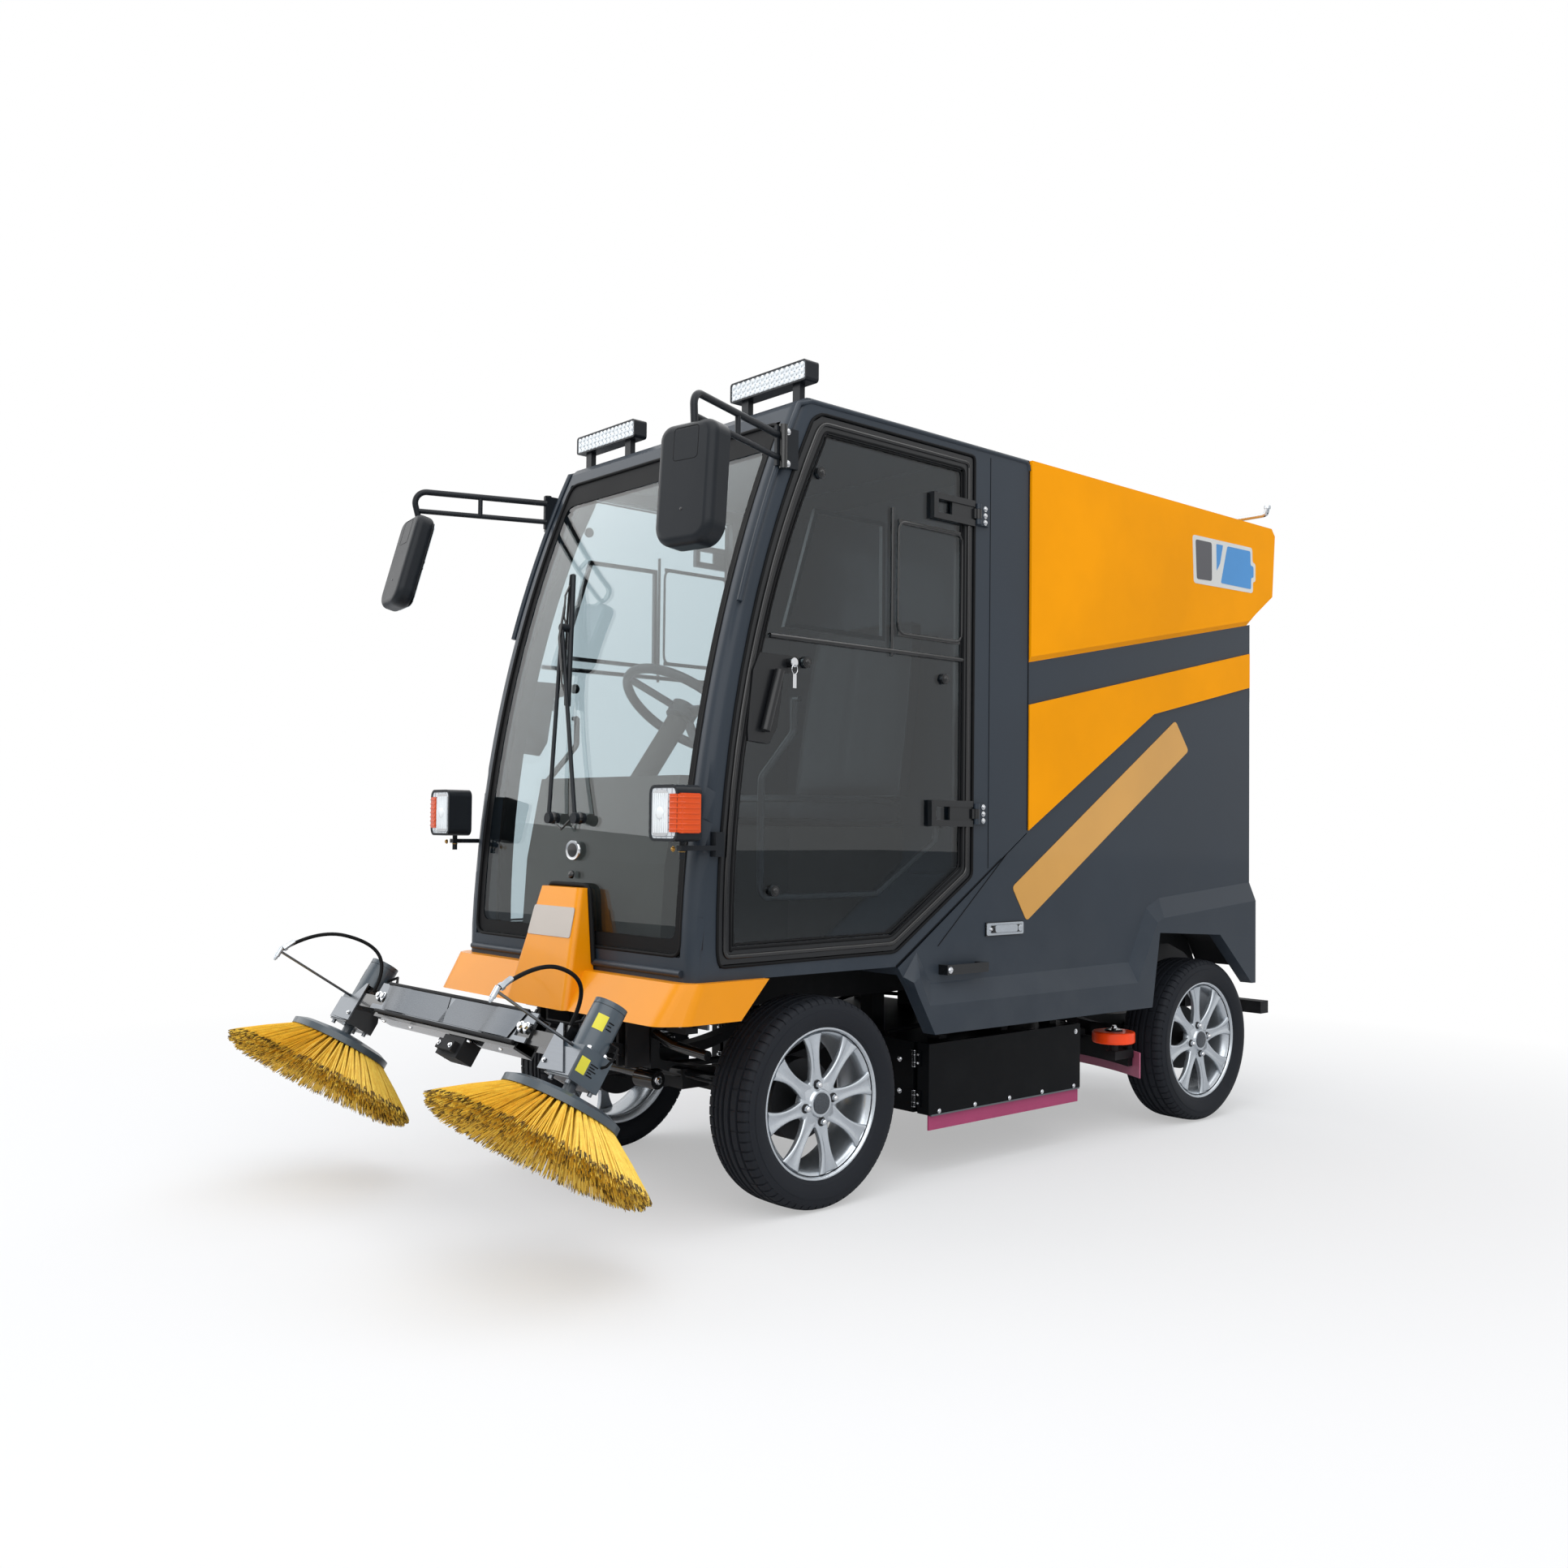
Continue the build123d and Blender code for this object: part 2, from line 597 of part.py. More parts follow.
with BuildPart() as cab_floor:
    pan_top = floor_top + pan_thickness
    box_rear_low = seat_height - seat_box_rear_drop
    slope_share = (box_rear_low - pan_top) / (seat_box_slope_end[1] - pan_top)
    box_rear = pan_rear + (seat_box_slope_end[0] - pan_rear) * slope_share
    block((cab_wall - cab_half_width, cab_half_width - cab_wall),
          (at_station(pan_front), at_station(pan_rear)), (floor_top, pan_top))
    prism(from_axle([(seat_front, pan_top), (pan_rear, pan_top), (box_rear, box_rear_low),
                     (box_rear, seat_height), (seat_front, seat_height)]), -seat_half, seat_half)
    prism(from_axle([(seat_front + seat_box_wall, floor_top), (pan_rear - 10, floor_top),
                     (box_rear - seat_box_wall, box_rear_low - seat_box_wall_drop),
                     (box_rear - seat_box_wall, seat_height - seat_box_wall),
                     (seat_front + seat_box_wall, seat_height - seat_box_wall)]),
          seat_box_wall - seat_half, seat_half - seat_box_wall, mode=Mode.SUBTRACT)
    block((seat_box_wall - seat_half, seat_half - seat_box_wall),
          (at_station(seat_front + seat_box_wall), at_station(pan_rear)), (floor_top, pan_top))
save("cab_floor", cab_floor.part)

with BuildPart() as seat_cushions:
    back_low = seat_height + cushion_thickness + cushion_gap
    back_high = back_low + back_height
    block((-seat_half, seat_half), (at_station(seat_front), at_station(seat_rear)),
          (seat_height, seat_height + cushion_thickness))
    prism(from_axle([(seat_rear - back_thickness / 2, back_low), (seat_rear + back_thickness / 2, back_low),
                     (seat_rear + back_thickness / 2 + back_lean, back_high),
                     (seat_rear - back_thickness / 2 + back_lean, back_high)]), -seat_half, seat_half)
save("seat_cushions", seat_cushions.part)

with BuildPart() as dashboard:
    prism(from_axle([(dash_front, floor_top + pan_thickness), (dash_rear - 60, floor_top + pan_thickness),
                     (dash_rear, dash_knee), (dash_rear, dash_top), (dash_front + 60, dash_top),
                     (dash_front + 15, dash_toe)]), -dash_half, dash_half)
    prism(from_axle([(dash_front + dash_wall, floor_top), (dash_rear - 60 - dash_wall, floor_top),
                     (dash_rear - dash_wall, dash_knee + 10), (dash_rear - dash_wall, dash_top - dash_wall),
                     (dash_front + 60 + dash_wall / 2, dash_top - dash_wall),
                     (dash_front + 15 + dash_wall, dash_toe)]), dash_wall - dash_half, dash_half - dash_wall,
          mode=Mode.SUBTRACT)
    column = from_axle([column_base, column_top])
    column_way = (0, column[1][0] - column[0][0], column[1][1] - column[0][1])
    column_plane = Plane(origin=(0, *column[0]), x_dir=(1, 0, 0), z_dir=column_way)
    column_length = Vector(*column_way).length
    with BuildSketch(column_plane) as column_section:
        Circle(column_radius)
    extrude(column_section.sketch, amount=column_length - 40)
    with BuildSketch(column_plane) as shaft_section:
        Circle(column_shaft_radius)
    extrude(shaft_section.sketch, amount=column_length - 8)
save("dashboard", dashboard.part)

with BuildPart() as steering_wheel:
    rim_plane = column_plane.offset(column_length)
    with BuildSketch(Plane(origin=rim_plane.origin + rim_plane.x_dir * wheel_rim_radius,
                           x_dir=rim_plane.x_dir, z_dir=rim_plane.y_dir)) as rim_section:
        Circle(wheel_grip_radius)
    revolve(rim_section.sketch, axis=Axis(rim_plane.origin, rim_plane.z_dir))
    with BuildSketch(rim_plane.offset(-30)) as boss_section:
        Circle(column_radius + 10)
    extrude(boss_section.sketch, amount=40)
    with BuildSketch(rim_plane.offset(-8)) as spokes:
        for angle in (0, 120, 240):
            with Locations(Rotation(0, 0, angle)):
                with Locations((wheel_rim_radius / 2, 0)):
                    Rectangle(wheel_rim_radius, 34)
    extrude(spokes.sketch, amount=8)
    with BuildSketch(rim_plane.offset(-31)) as bore_section:
        Circle(column_shaft_radius + running_fit)
    extrude(bore_section.sketch, amount=24, mode=Mode.SUBTRACT)
save("steering_wheel", steering_wheel.part)

# ---------------------------------------------------------------- rear body and hopper
body_front = cab_rear + seam_gap
split_low = (body_front, 1503.0)     # the yellow hopper top begins along this line
split_high = (2073.0, 1743.0)
split_slope = (split_high[1] - split_low[1]) / (split_high[0] - split_low[0])
split_rear = (body_rear, split_high[1] + split_slope * (body_rear - split_high[0]))
nose_low = (268.0, seam_low[1] - 4)  # where the body starts under the cab's rising floor
nose_tip = (314.0, 556.0)
sill_front = (394.0, 425.0)
arch_front_low = (1450.0, 420.0)
arch_front_high = (1493.0, 662.0)
arch_rear_high = (1860.0, 640.0)
arch_rear_low = (2070.0, 459.0)
tail_low = (body_rear, 459.0)
body_lower_edge = [tail_low, arch_rear_low, arch_rear_high, arch_front_high, arch_front_low]
seam_slope = (seam_high[1] - seam_low[1]) / (seam_high[0] - seam_low[0])
hopper_floor = deck_floor + body_wall
hopper_floor_front = 440.0
hopper_floor_rise = seam_slope * (body_front + body_wall - hopper_floor_front)
underside = [(240.0, 400.0), (2200.0, 400.0), (2200.0, deck_floor), (430.0, deck_floor), (300.0, 594.0),
             (240.0, 594.0)]
flare_top = [(343.0, 657.0), (400.0, 566.0), (1350.0, 573.0), (1448.0, 745.0), (1523.0, 776.0),
             (body_rear, 818.0)]
flare_top_nose = [sill_front, nose_tip, (290.0, 590.0)]
flare_ridge = [(330.0, 590.0), (372.0, 507.0), (1368.0, 506.0), (1478.0, 697.0), (1516.0, 710.0),
               (body_rear, 752.0)]
flare_ridge_nose = [sill_front, (324.0, 540.0), (305.0, 575.0)]
rear_opening_bottom = 740.0
rear_opening_top = 1620.0
rear_opening_half = body_half - 79


def side_loft(inner_points, inner_x, outer_points, outer_x, side):
    """A panel that stands out from the body's side, its edge bevelled between two outlines."""
    with BuildSketch(Plane.YZ.offset(side * inner_x)) as inner_edge:
        with BuildLine():
            Polyline(*from_axle(inner_points), close=True)
        make_face()
    with BuildSketch(Plane.YZ.offset(side * outer_x)) as outer_edge:
        with BuildLine():
            Polyline(*from_axle(outer_points), close=True)
        make_face()
    return loft([inner_edge.sketch, outer_edge.sketch], ruled=True)


with BuildPart() as body_shell:
    prism(from_axle([nose_low, (body_front, seam_high[1] - 4), split_low, split_rear, *body_lower_edge,
                     sill_front, nose_tip]), -body_half, body_half)
    prism(from_axle([(hopper_floor_front, hopper_floor),
                     (body_front + body_wall, hopper_floor + hopper_floor_rise),
                     (body_front + body_wall, roof_top), (body_rear - body_wall, roof_top),
                     (body_rear - body_wall, hopper_floor)]),
          body_wall - body_half, body_half - body_wall, mode=Mode.SUBTRACT)
    prism(from_axle(underside), body_wall - body_half, body_half - body_wall, mode=Mode.SUBTRACT)
    block((-rear_opening_half, rear_opening_half),
          (at_station(body_rear) - 60, at_station(body_rear) + 1),
          (rear_opening_bottom, rear_opening_top), mode=Mode.SUBTRACT)
    for side in (-1, 1):
        side_loft(flare_top + body_lower_edge + flare_top_nose, body_half - 0.5,
                  flare_ridge + body_lower_edge + flare_ridge_nose, body_half + flare_proud, side)
save("body_shell", body_shell.part)

hopper_rear_low = (2233.0, 1863.0)
hopper_roof_corner = (2228.0, roof_top)
hopper_rear_corner = (2251.0, roof_top - 25)
with BuildPart() as hopper_top:
    roof_line = [(body_front, roof_top), hopper_roof_corner, hopper_rear_corner, hopper_rear_low]
    prism(from_axle([split_low, *roof_line, split_high]), -body_half, body_half)
    for side in (-1, 1):
        side_loft([split_low, *roof_line, split_high], body_half - 0.5,
                  [(split_low[0], split_low[1] + hopper_bevel), *roof_line,
                   (split_high[0], split_high[1] + hopper_bevel)], body_half + hopper_proud, side)
    prism(from_axle([(body_front + hopper_wall, split_low[1] - 40),
                     (body_front + hopper_wall, roof_top - hopper_wall),
                     (hopper_roof_corner[0] - 6, roof_top - hopper_wall),
                     (hopper_rear_low[0] - hopper_wall, hopper_rear_low[1] + 6),
                     (body_rear - body_wall - 12, split_high[1] + 10),
                     (body_rear - body_wall - 12, split_high[1] - 60)]),
          hopper_wall - body_half, body_half - hopper_wall, mode=Mode.SUBTRACT)
save("hopper_top", hopper_top.part)

band_rear = 2083.0
side_band = [(body_front, 1374.0), (band_rear, 1640.0), (band_rear, 1518.0), (1481.0, 1386.0),
             (body_front, 996.0)]
with BuildPart() as side_bands:
    prism(from_axle(side_band), body_half, body_half + band_proud)
    prism(from_axle(side_band), -body_half - band_proud, -body_half)
save("side_bands", side_bands.part)

rear_door_bottom = 600.0
rear_door_top = 1660.0
rear_door_thickness = 28.0
rear_door_lip = 24.0
rear_door_skin = 8.0
rear_door_gap = 5.0
rear_hinge_x = body_half - 29
rear_door_half = rear_hinge_x - 25
rear_hinge_heights = (700.0, 1500.0)
rear_hinge_y = at_station(body_rear) + rear_door_gap + rear_door_thickness
rear_handle_height = 1100.0
rear_handle_reach = 20.0
with BuildPart() as rear_door:
    face_y = at_station(body_rear) + rear_door_gap
    block((-rear_door_half, rear_door_half), (face_y, face_y + rear_door_thickness),
          (rear_door_bottom, rear_door_top))
    block((rear_door_lip - rear_door_half, rear_door_half - rear_door_lip),
          (face_y - 1, face_y + rear_door_thickness - rear_door_skin),
          (rear_door_bottom + rear_door_lip, rear_door_top - rear_door_lip), mode=Mode.SUBTRACT)
    for height in rear_hinge_heights:
        block((rear_door_half - 1, rear_hinge_x), (rear_hinge_y - 8, rear_hinge_y + 4),
              (height - hinge_arm_half, height + hinge_arm_half))
        rod_z(rear_hinge_x, rear_hinge_y, (height - hinge_arm_half, height + hinge_arm_half),
              hinge_barrel_radius)
        rod_z(rear_hinge_x, rear_hinge_y, (height - hinge_knuckle, height + hinge_knuckle),
              hinge_pin_radius + running_fit, mode=Mode.SUBTRACT)
    handle_y = face_y + rear_door_thickness + rear_handle_reach
    handle_x = (40 - rear_door_half, 160 - rear_door_half)
    rod_x(handle_x, handle_y, rear_handle_height, 8)
    for x in (handle_x[0] + 8, handle_x[1] - 8):
        rod_y(x, (face_y + rear_door_thickness - 1, handle_y), rear_handle_height, 7)
save("rear_door", rear_door.part)

latch_box = ((634.0, 806.0), (686.0, 726.0))         # stations and heights of the paddle latch
latch_frame_proud = 4.0
grab_stations = (434.0, 612.0)
grab_heights = (588.0, 616.0)
grab_proud = 34.0
grab_foot = 22.0
pole_rise = 50.0              # from the roof to the pipe's middle
pole_height = roof_top + pole_rise
pole_station = 2200.0
pole_radius = 8.0
pole_bend = 12.0
bracket_shares = (0.2, 0.8)    # where a bracket's foot stands on the hopper's bevelled rear edge
bracket_inset = 24.0
pole_ends = (280.0, 540.0)
with BuildPart() as body_fittings:
    for height in rear_hinge_heights:
        for end in (-1, 1):
            knuckle = sorted((height + end * hinge_knuckle, height + end * hinge_leaf_half))
            rod_z(rear_hinge_x, rear_hinge_y, knuckle, hinge_barrel_radius)
            block((rear_hinge_x - 4, rear_hinge_x + 9), (at_station(body_rear), rear_hinge_y), knuckle)
        block((rear_hinge_x - 8, rear_hinge_x + 20), (at_station(body_rear), at_station(body_rear) + 4),
              (height - hinge_leaf_half, height + hinge_leaf_half))
        rod_z(rear_hinge_x, rear_hinge_y, (height - hinge_leaf_half, height + hinge_leaf_half),
              hinge_pin_radius)
    for side in (-1, 1):
        latch = [at_station(station) for station in latch_box[0]]
        block(on_side(side, body_half, body_half + latch_frame_proud), latch, latch_box[1])
        block(on_side(side, body_half, body_half + 9), (latch[0] + 22, latch[1] - 14),
              (latch_box[1][0] + 9, latch_box[1][1] - 9))
        grab = [at_station(station) for station in grab_stations]
        block(on_side(side, body_half + grab_proud - 8, body_half + grab_proud), grab, grab_heights)
        for foot in ((grab[0], grab[0] + grab_foot), (grab[1] - grab_foot, grab[1])):
            block(on_side(side, body_half, body_half + grab_proud), foot, grab_heights)
    # upturned pipe end over the hopper's rear edge
    bent_rod([(pole_ends[0], at_station(pole_station), pole_height),
              (pole_ends[1], at_station(pole_station), pole_height),
              (pole_ends[1] + 4, at_station(pole_station), pole_height + 28)], pole_bend, pole_radius)
    bevel_run = hopper_rear_corner[0] - hopper_roof_corner[0]
    bevel_drop = roof_top - hopper_rear_corner[1]
    bracket_foot = [(hopper_roof_corner[0] + bevel_run * share, roof_top - bevel_drop * share)
                    for share in bracket_shares]
    for x in (pole_ends[0] + bracket_inset, pole_ends[0] + 5 * bracket_inset):
        prism(from_axle([*bracket_foot, (bracket_foot[1][0], pole_height + pole_radius / 2),
                         (pole_station, pole_height + pole_radius / 2),
                         (pole_station, pole_height - pole_radius / 2),
                         (bracket_foot[0][0], pole_height - pole_radius / 2)]), x - 5, x + 5)
save("body_fittings", body_fittings.part)

battery_half = 350.0
battery_stations = (950.0, 1550.0)
battery_height = 250.0
with BuildPart() as battery_pack:
    block((-battery_half, battery_half), [at_station(station) for station in battery_stations],
          (hopper_floor, hopper_floor + battery_height))
save("battery_pack", battery_pack.part)

# ---------------------------------------------------------------- front apron
apron_bottom = 522.0
apron_top = 620.0
apron_wall = 14.0
apron_corner = 48.0
apron_half = cab_half_width + 22
apron_low = [(apron_half, -313), (apron_half, -480), (apron_half - 41, -547)]     # half outline: (x, station)
apron_high = [(apron_half, -223), (apron_half, -440), (apron_half - 30, -486)]
apron_inside = apron_half - apron_wall
apron_low_inside = [(apron_inside, 0), (apron_inside, -476), (apron_inside - 33, -533)]
apron_high_inside = [(apron_inside, 0), (apron_inside, -440), (apron_inside - 22, -472)]
nose_top = 832.0
nose_corner = 16.0
nose_low_half = 145.0
nose_high_half = 96.0
nose_low_front = -558.0
nose_high_front = -482.0
nose_rear = -457.0
nose_roof = 12.0


def plan_loft(low, low_z, high, high_z, corner=0.0, mode=Mode.ADD):
    """A form between two plan outlines, each given by its left half, with rounded front corners."""
    plans = []
    for half_outline, height in ((low, low_z), (high, high_z)):
        left = [(x, at_station(station)) for x, station in half_outline]
        with BuildSketch(Plane.XY.offset(height)) as outline:
            with BuildLine():
                Polyline(*left, *[(-x, y) for x, y in reversed(left)], close=True)
            make_face()
            if corner:
                rear = outline.vertices().sort_by(Axis.Y)[-2:]
                fillet([vertex for vertex in outline.vertices() if vertex not in rear], radius=corner)
        plans.append(outline.sketch)
    return loft(plans, ruled=True, mode=mode)


with BuildPart() as front_apron:
    plan_loft(apron_low, apron_bottom, apron_high, apron_top, apron_corner)
    plan_loft(apron_low_inside, apron_bottom - 1, apron_high_inside, apron_top - 10, mode=Mode.SUBTRACT)
    plan_loft([(nose_low_half, nose_rear), (nose_low_half, nose_low_front)], apron_bottom,
              [(nose_high_half, nose_rear), (nose_high_half, nose_high_front)], nose_top, nose_corner)
    plan_loft([(nose_low_half - apron_wall, nose_rear + 40),
               (nose_low_half - apron_wall, nose_low_front + apron_wall)], apron_bottom - 1,
              [(nose_high_half - apron_wall, nose_rear + 40),
               (nose_high_half - apron_wall, nose_high_front + apron_wall)], nose_top - nose_roof,
              mode=Mode.SUBTRACT)
save("front_apron", front_apron.part)

# ---------------------------------------------------------------- lamps, mirrors and wiper
lamp_inner = cab_half_width - 51
lamp_width = 110.0
lamp_low = 962.0
lamp_high = 1096.0
lamp_front = -548.0
lamp_back = -474.0
lamp_corner = 20.0
lamp_bezel = 7.0
lens_thickness = 12.0
lens_setback = 2.0
signal_thickness = 12.0
lamp_arm = (cab_half_width + 2, cab_half_width + 22)
lamp_stalk_radius = 7.0
lamp_foot_front = -400.0
bar_outer = cab_half_width - 4
bar_width = 309.0
bar_low = 2164.0
bar_high = 2219.0
bar_front = -98.0
bar_depth = 46.0
bar_corner = 9.0
bar_bezel = 5.0
lamp_x = (lamp_inner, lamp_inner + lamp_width)
bar_x = (bar_outer - bar_width, bar_outer)


def lamp_block(x, y, z, corner, mode=Mode.ADD):
    """A forward-facing lamp form: a box whose four edges along Y are rounded."""
    middle = ((x[0] + x[1]) / 2, y[1], (z[0] + z[1]) / 2)
    with BuildSketch(Plane(origin=middle, x_dir=(1, 0, 0), z_dir=(0, -1, 0))) as face:
        RectangleRounded(x[1] - x[0], z[1] - z[0], corner)
    return extrude(face.sketch, amount=y[1] - y[0], mode=mode)


def inner_box(x, z, bezel):
    return (x[0] + bezel, x[1] - bezel), (z[0] + bezel, z[1] - bezel)


lamp_face, lamp_face_z = inner_box(lamp_x, (lamp_low, lamp_high), lamp_bezel)
bar_face, bar_face_z = inner_box(bar_x, (bar_low, bar_high), bar_bezel)
with BuildPart() as lamp_housings:
    front = at_station(lamp_front)
    lamp_block(lamp_x, (front, at_station(lamp_back)), (lamp_low, lamp_high), lamp_corner)
    lamp_block(lamp_face, (front - 1, front + lens_thickness), lamp_face_z, lamp_corner - lamp_bezel,
               mode=Mode.SUBTRACT)
    stalk_y = at_station(lamp_back) - 20
    block(lamp_arm, (stalk_y - 10, at_station(lamp_foot_front)), (lamp_low - 22, lamp_low - 10))
    block((cab_half_width, lamp_arm[1]), (at_station(lamp_foot_front), at_station(lamp_foot_front) + 26),
          (lamp_low - 37, lamp_low + 23))
    rod_z((lamp_arm[0] + lamp_arm[1]) / 2 - 2, stalk_y, (lamp_low - 42, lamp_low), lamp_stalk_radius)
    bar_y = at_station(bar_front)
    for foot in (bar_x[0] + 50, bar_x[1] - 50):
        block((foot - 14, foot + 14), (bar_y + lens_thickness, bar_y + lens_thickness + 18),
              (roof_top, bar_low))
    lamp_block(bar_x, (bar_y, bar_y + bar_depth), (bar_low, bar_high), bar_corner)
    lamp_block(bar_face, (bar_y - 1, bar_y + lens_thickness), bar_face_z, bar_corner - bar_bezel,
               mode=Mode.SUBTRACT)
    mirror(about=Plane.YZ)
save("lamp_housings", lamp_housings.part)

with BuildPart() as lamp_lenses:
    lamp_block(lamp_face, (front + lens_setback, front + lens_thickness), lamp_face_z,
               lamp_corner - lamp_bezel)
    lamp_block(bar_face, (bar_y + lens_setback, bar_y + lens_thickness), bar_face_z, bar_corner - bar_bezel)
    mirror(about=Plane.YZ)
save("lamp_lenses", lamp_lenses.part)

with BuildPart() as turn_signals:
    block((lamp_x[1], lamp_x[1] + signal_thickness), (front + 6, front + 58),
          (lamp_low + lamp_corner, lamp_high - lamp_corner))
    mirror(about=Plane.YZ)
save("turn_signals", turn_signals.part)

mirror_x = cab_half_width + 152
mirror_station = -592.0
mirror_middle = 1775.0
mirror_width = 172.0
mirror_height = 286.0
mirror_depth = 58.0
mirror_toe = 10.0
mirror_tilts = ((1, 4.0), (-1, 15.0))      # side, how far the top leans back
mirror_top_corner = 36.0
mirror_low_corner = 50.0
mirror_back_rounding = 20.0
mirror_sink = 8.0             # how far the arm runs into the head
arm_radius = 9.0
arm_high = 1996.0
arm_low = 1938.0
arm_bend = 34.0
arm_root = -200.0


def mirror_plane(side, tilt):
    """The head's own plane: x outwards, y up, z forwards."""
    out = Vector(cos(radians(mirror_toe)), side * sin(radians(mirror_toe)), 0)
    back = Vector(0, 0, 1).cross(out)
    up = Vector(0, 0, 1) * cos(radians(tilt)) + back * sin(radians(tilt))
    return Plane(origin=(side * mirror_x, at_station(mirror_station), mirror_middle), x_dir=out,
                 z_dir=out.cross(up))


def mirror_head(side, tilt):
    with BuildPart() as head:
        with BuildSketch(mirror_plane(side, tilt)):
            with BuildLine():
                half, rise = mirror_width / 2, mirror_height / 2
                FilletPolyline((-half, -rise), (half, -rise), (half, rise), (-half, rise), close=True,
                               radius=[mirror_low_corner] * 2 + [mirror_top_corner] * 2)
            make_face()
        extrude(amount=mirror_depth / 2, both=True)
        front = head.faces().filter_by(GeomType.PLANE).sort_by(Axis.Y)[0]
        fillet(front.edges(), radius=mirror_back_rounding)
    return head.part


mirror_heads = [mirror_head(side, tilt) for side, tilt in mirror_tilts]
with BuildPart() as mirrors:
    for head in mirror_heads:
        add(head)
    for side, tilt in mirror_tilts:
        root_x, root_y = side * (cab_half_width + 5), at_station(arm_root)
        elbow = Vector(side * (mirror_x - 6), at_station(mirror_station) + 8, arm_high)
        socket = mirror_plane(side, tilt).from_local_coords(Vector(0, mirror_height / 2 - mirror_sink, 0))
        drop = (arm_high - arm_low) / (arm_high - socket.Z)
        bent_rod([(root_x, root_y, arm_high), elbow, socket], arm_bend, arm_radius)
        straight_rod((root_x, root_y, arm_low), elbow + (socket - elbow) * drop, arm_radius - 1.5)
        rod_z((root_x + elbow.X) / 2, (root_y + elbow.Y) / 2, (arm_low, arm_high), arm_radius - 2)
        block(on_side(side, cab_half_width, cab_half_width + 10), (root_y - 8, root_y + 66),
              (arm_low - 22, arm_high + 22))
save("mirrors", mirrors.part)

wiper_pivots = (-108.0, 21.0)
wiper_pivot_height = 1016.0
wiper_head = (-205.0, 1560.0)       # (x, height) where both arms meet the blade
blade_low = (-118.0, 1330.0)
blade_high = (-262.0, 1726.0)
wiper_arm_radius = 6.0
wiper_blade_radius = 8.0
nose_arc = ThreePointArc(*from_axle([cab_nose_low, cab_nose_mid, cab_nose_high]), mode=Mode.PRIVATE)


def before_screen(x, height, stand_off):
    """A point the given distance in front of the cab's curved face."""
    reach = nose_arc.radius + stand_off
    rise = height - nose_arc.arc_center.Y
    return (x, nose_arc.arc_center.X - (reach ** 2 - rise ** 2) ** 0.5, height)


with BuildPart() as wiper:
    for pivot in wiper_pivots:
        foot = before_screen(pivot, wiper_pivot_height, -4.2)[1]
        rod_y(pivot, (foot - 34, foot), wiper_pivot_height, 15)
        straight_rod(before_screen(pivot, wiper_pivot_height, 24), before_screen(*wiper_head, 34),
                     wiper_arm_radius)
    straight_rod(before_screen(*blade_low, 12), before_screen(*blade_high, 12), wiper_blade_radius)
    straight_rod(before_screen(*wiper_head, 38), before_screen(*wiper_head, 16), 12)
save("wiper", wiper.part)

# ---------------------------------------------------------------- scrub deck, broom and squeegee
deck_half = 490.0
deck_front = 446.0
deck_rear = 1154.0
deck_top = 385.0
deck_bottom = 184.0
deck_wall = 8.0
deck_door_thickness = 12.0
deck_door_clearance = 5.0
deck_hanger_stations = (520.0, 1080.0)
deck_hanger_half = 25.0
skirt_bottom = 139.0
skirt_thickness = 5.0
deck_hinge_x = deck_half - 52
deck_hinge_stand = 6.0        # the hinge's axis, in front of the deck's face
deck_hinge_radius = 7.0
deck_pin_radius = 3.5
deck_hinge_heights = (226.0, 340.0)
deck_leaf_half = 22.5
deck_leaf_width = 22.0
deck_leaf_thickness = 4.0
deck_knuckle = 10.0           # half the length of the moving knuckle
deck_plate_edge = deck_hinge_x - 8
deck_flange_edge = deck_hinge_x + 8
deck_flange_thickness = 8.0
deck_recess = 14.0            # the box starts this far behind its front plate
broom_radius = 112.0
broom_station = 800.0
broom_height = 255.0
broom_half = deck_half - 70
broom_shaft_radius = 20.0
broom_socket = 30.0           # how far the shafts reach into the broom
broom_bearing_radius = 34.0
deck_face_y = at_station(deck_front)
deck_hinge_y = deck_face_y - deck_hinge_stand

with BuildPart() as scrub_deck:
    outer = deck_half - deck_door_thickness - deck_door_clearance
    box_front = deck_face_y + deck_recess
    block((-outer, outer), (box_front, at_station(deck_rear)), (deck_bottom, deck_top))
    block((deck_wall - outer, outer - deck_wall), (box_front + deck_wall, at_station(deck_rear) - deck_wall),
          (deck_bottom - 1, deck_top - deck_wall), mode=Mode.SUBTRACT)
    block((-deck_plate_edge, deck_plate_edge), (deck_face_y, box_front), (deck_bottom, deck_top))
    for side in (-1, 1):
        for station in deck_hanger_stations:
            block(rail_edges(side),
                  (at_station(station) - deck_hanger_half, at_station(station) + deck_hanger_half),
                  (deck_top - 1, rail_bottom))
        for height in deck_hinge_heights:
            block(on_side(side, deck_hinge_x - deck_leaf_width, deck_plate_edge),
                  (deck_face_y - deck_leaf_thickness, deck_face_y),
                  (height - deck_leaf_half, height + deck_leaf_half))
            for end in (-1, 1):
                knuckle = sorted((height + end * (deck_knuckle + 1), height + end * deck_leaf_half))
                rod_z(side * deck_hinge_x, deck_hinge_y, knuckle, deck_hinge_radius)
                block(on_side(side, deck_plate_edge - 1, deck_hinge_x),
                      (deck_face_y - deck_leaf_thickness, deck_face_y), knuckle)
            rod_z(side * deck_hinge_x, deck_hinge_y, (height - deck_leaf_half, height + deck_leaf_half),
                  deck_pin_radius)
        rod_x(on_side(side, broom_half + 2, outer), at_station(broom_station), broom_height,
              broom_bearing_radius)
        rod_x(on_side(side, broom_half - broom_socket, outer), at_station(broom_station), broom_height,
              broom_shaft_radius)
save("scrub_deck", scrub_deck.part)

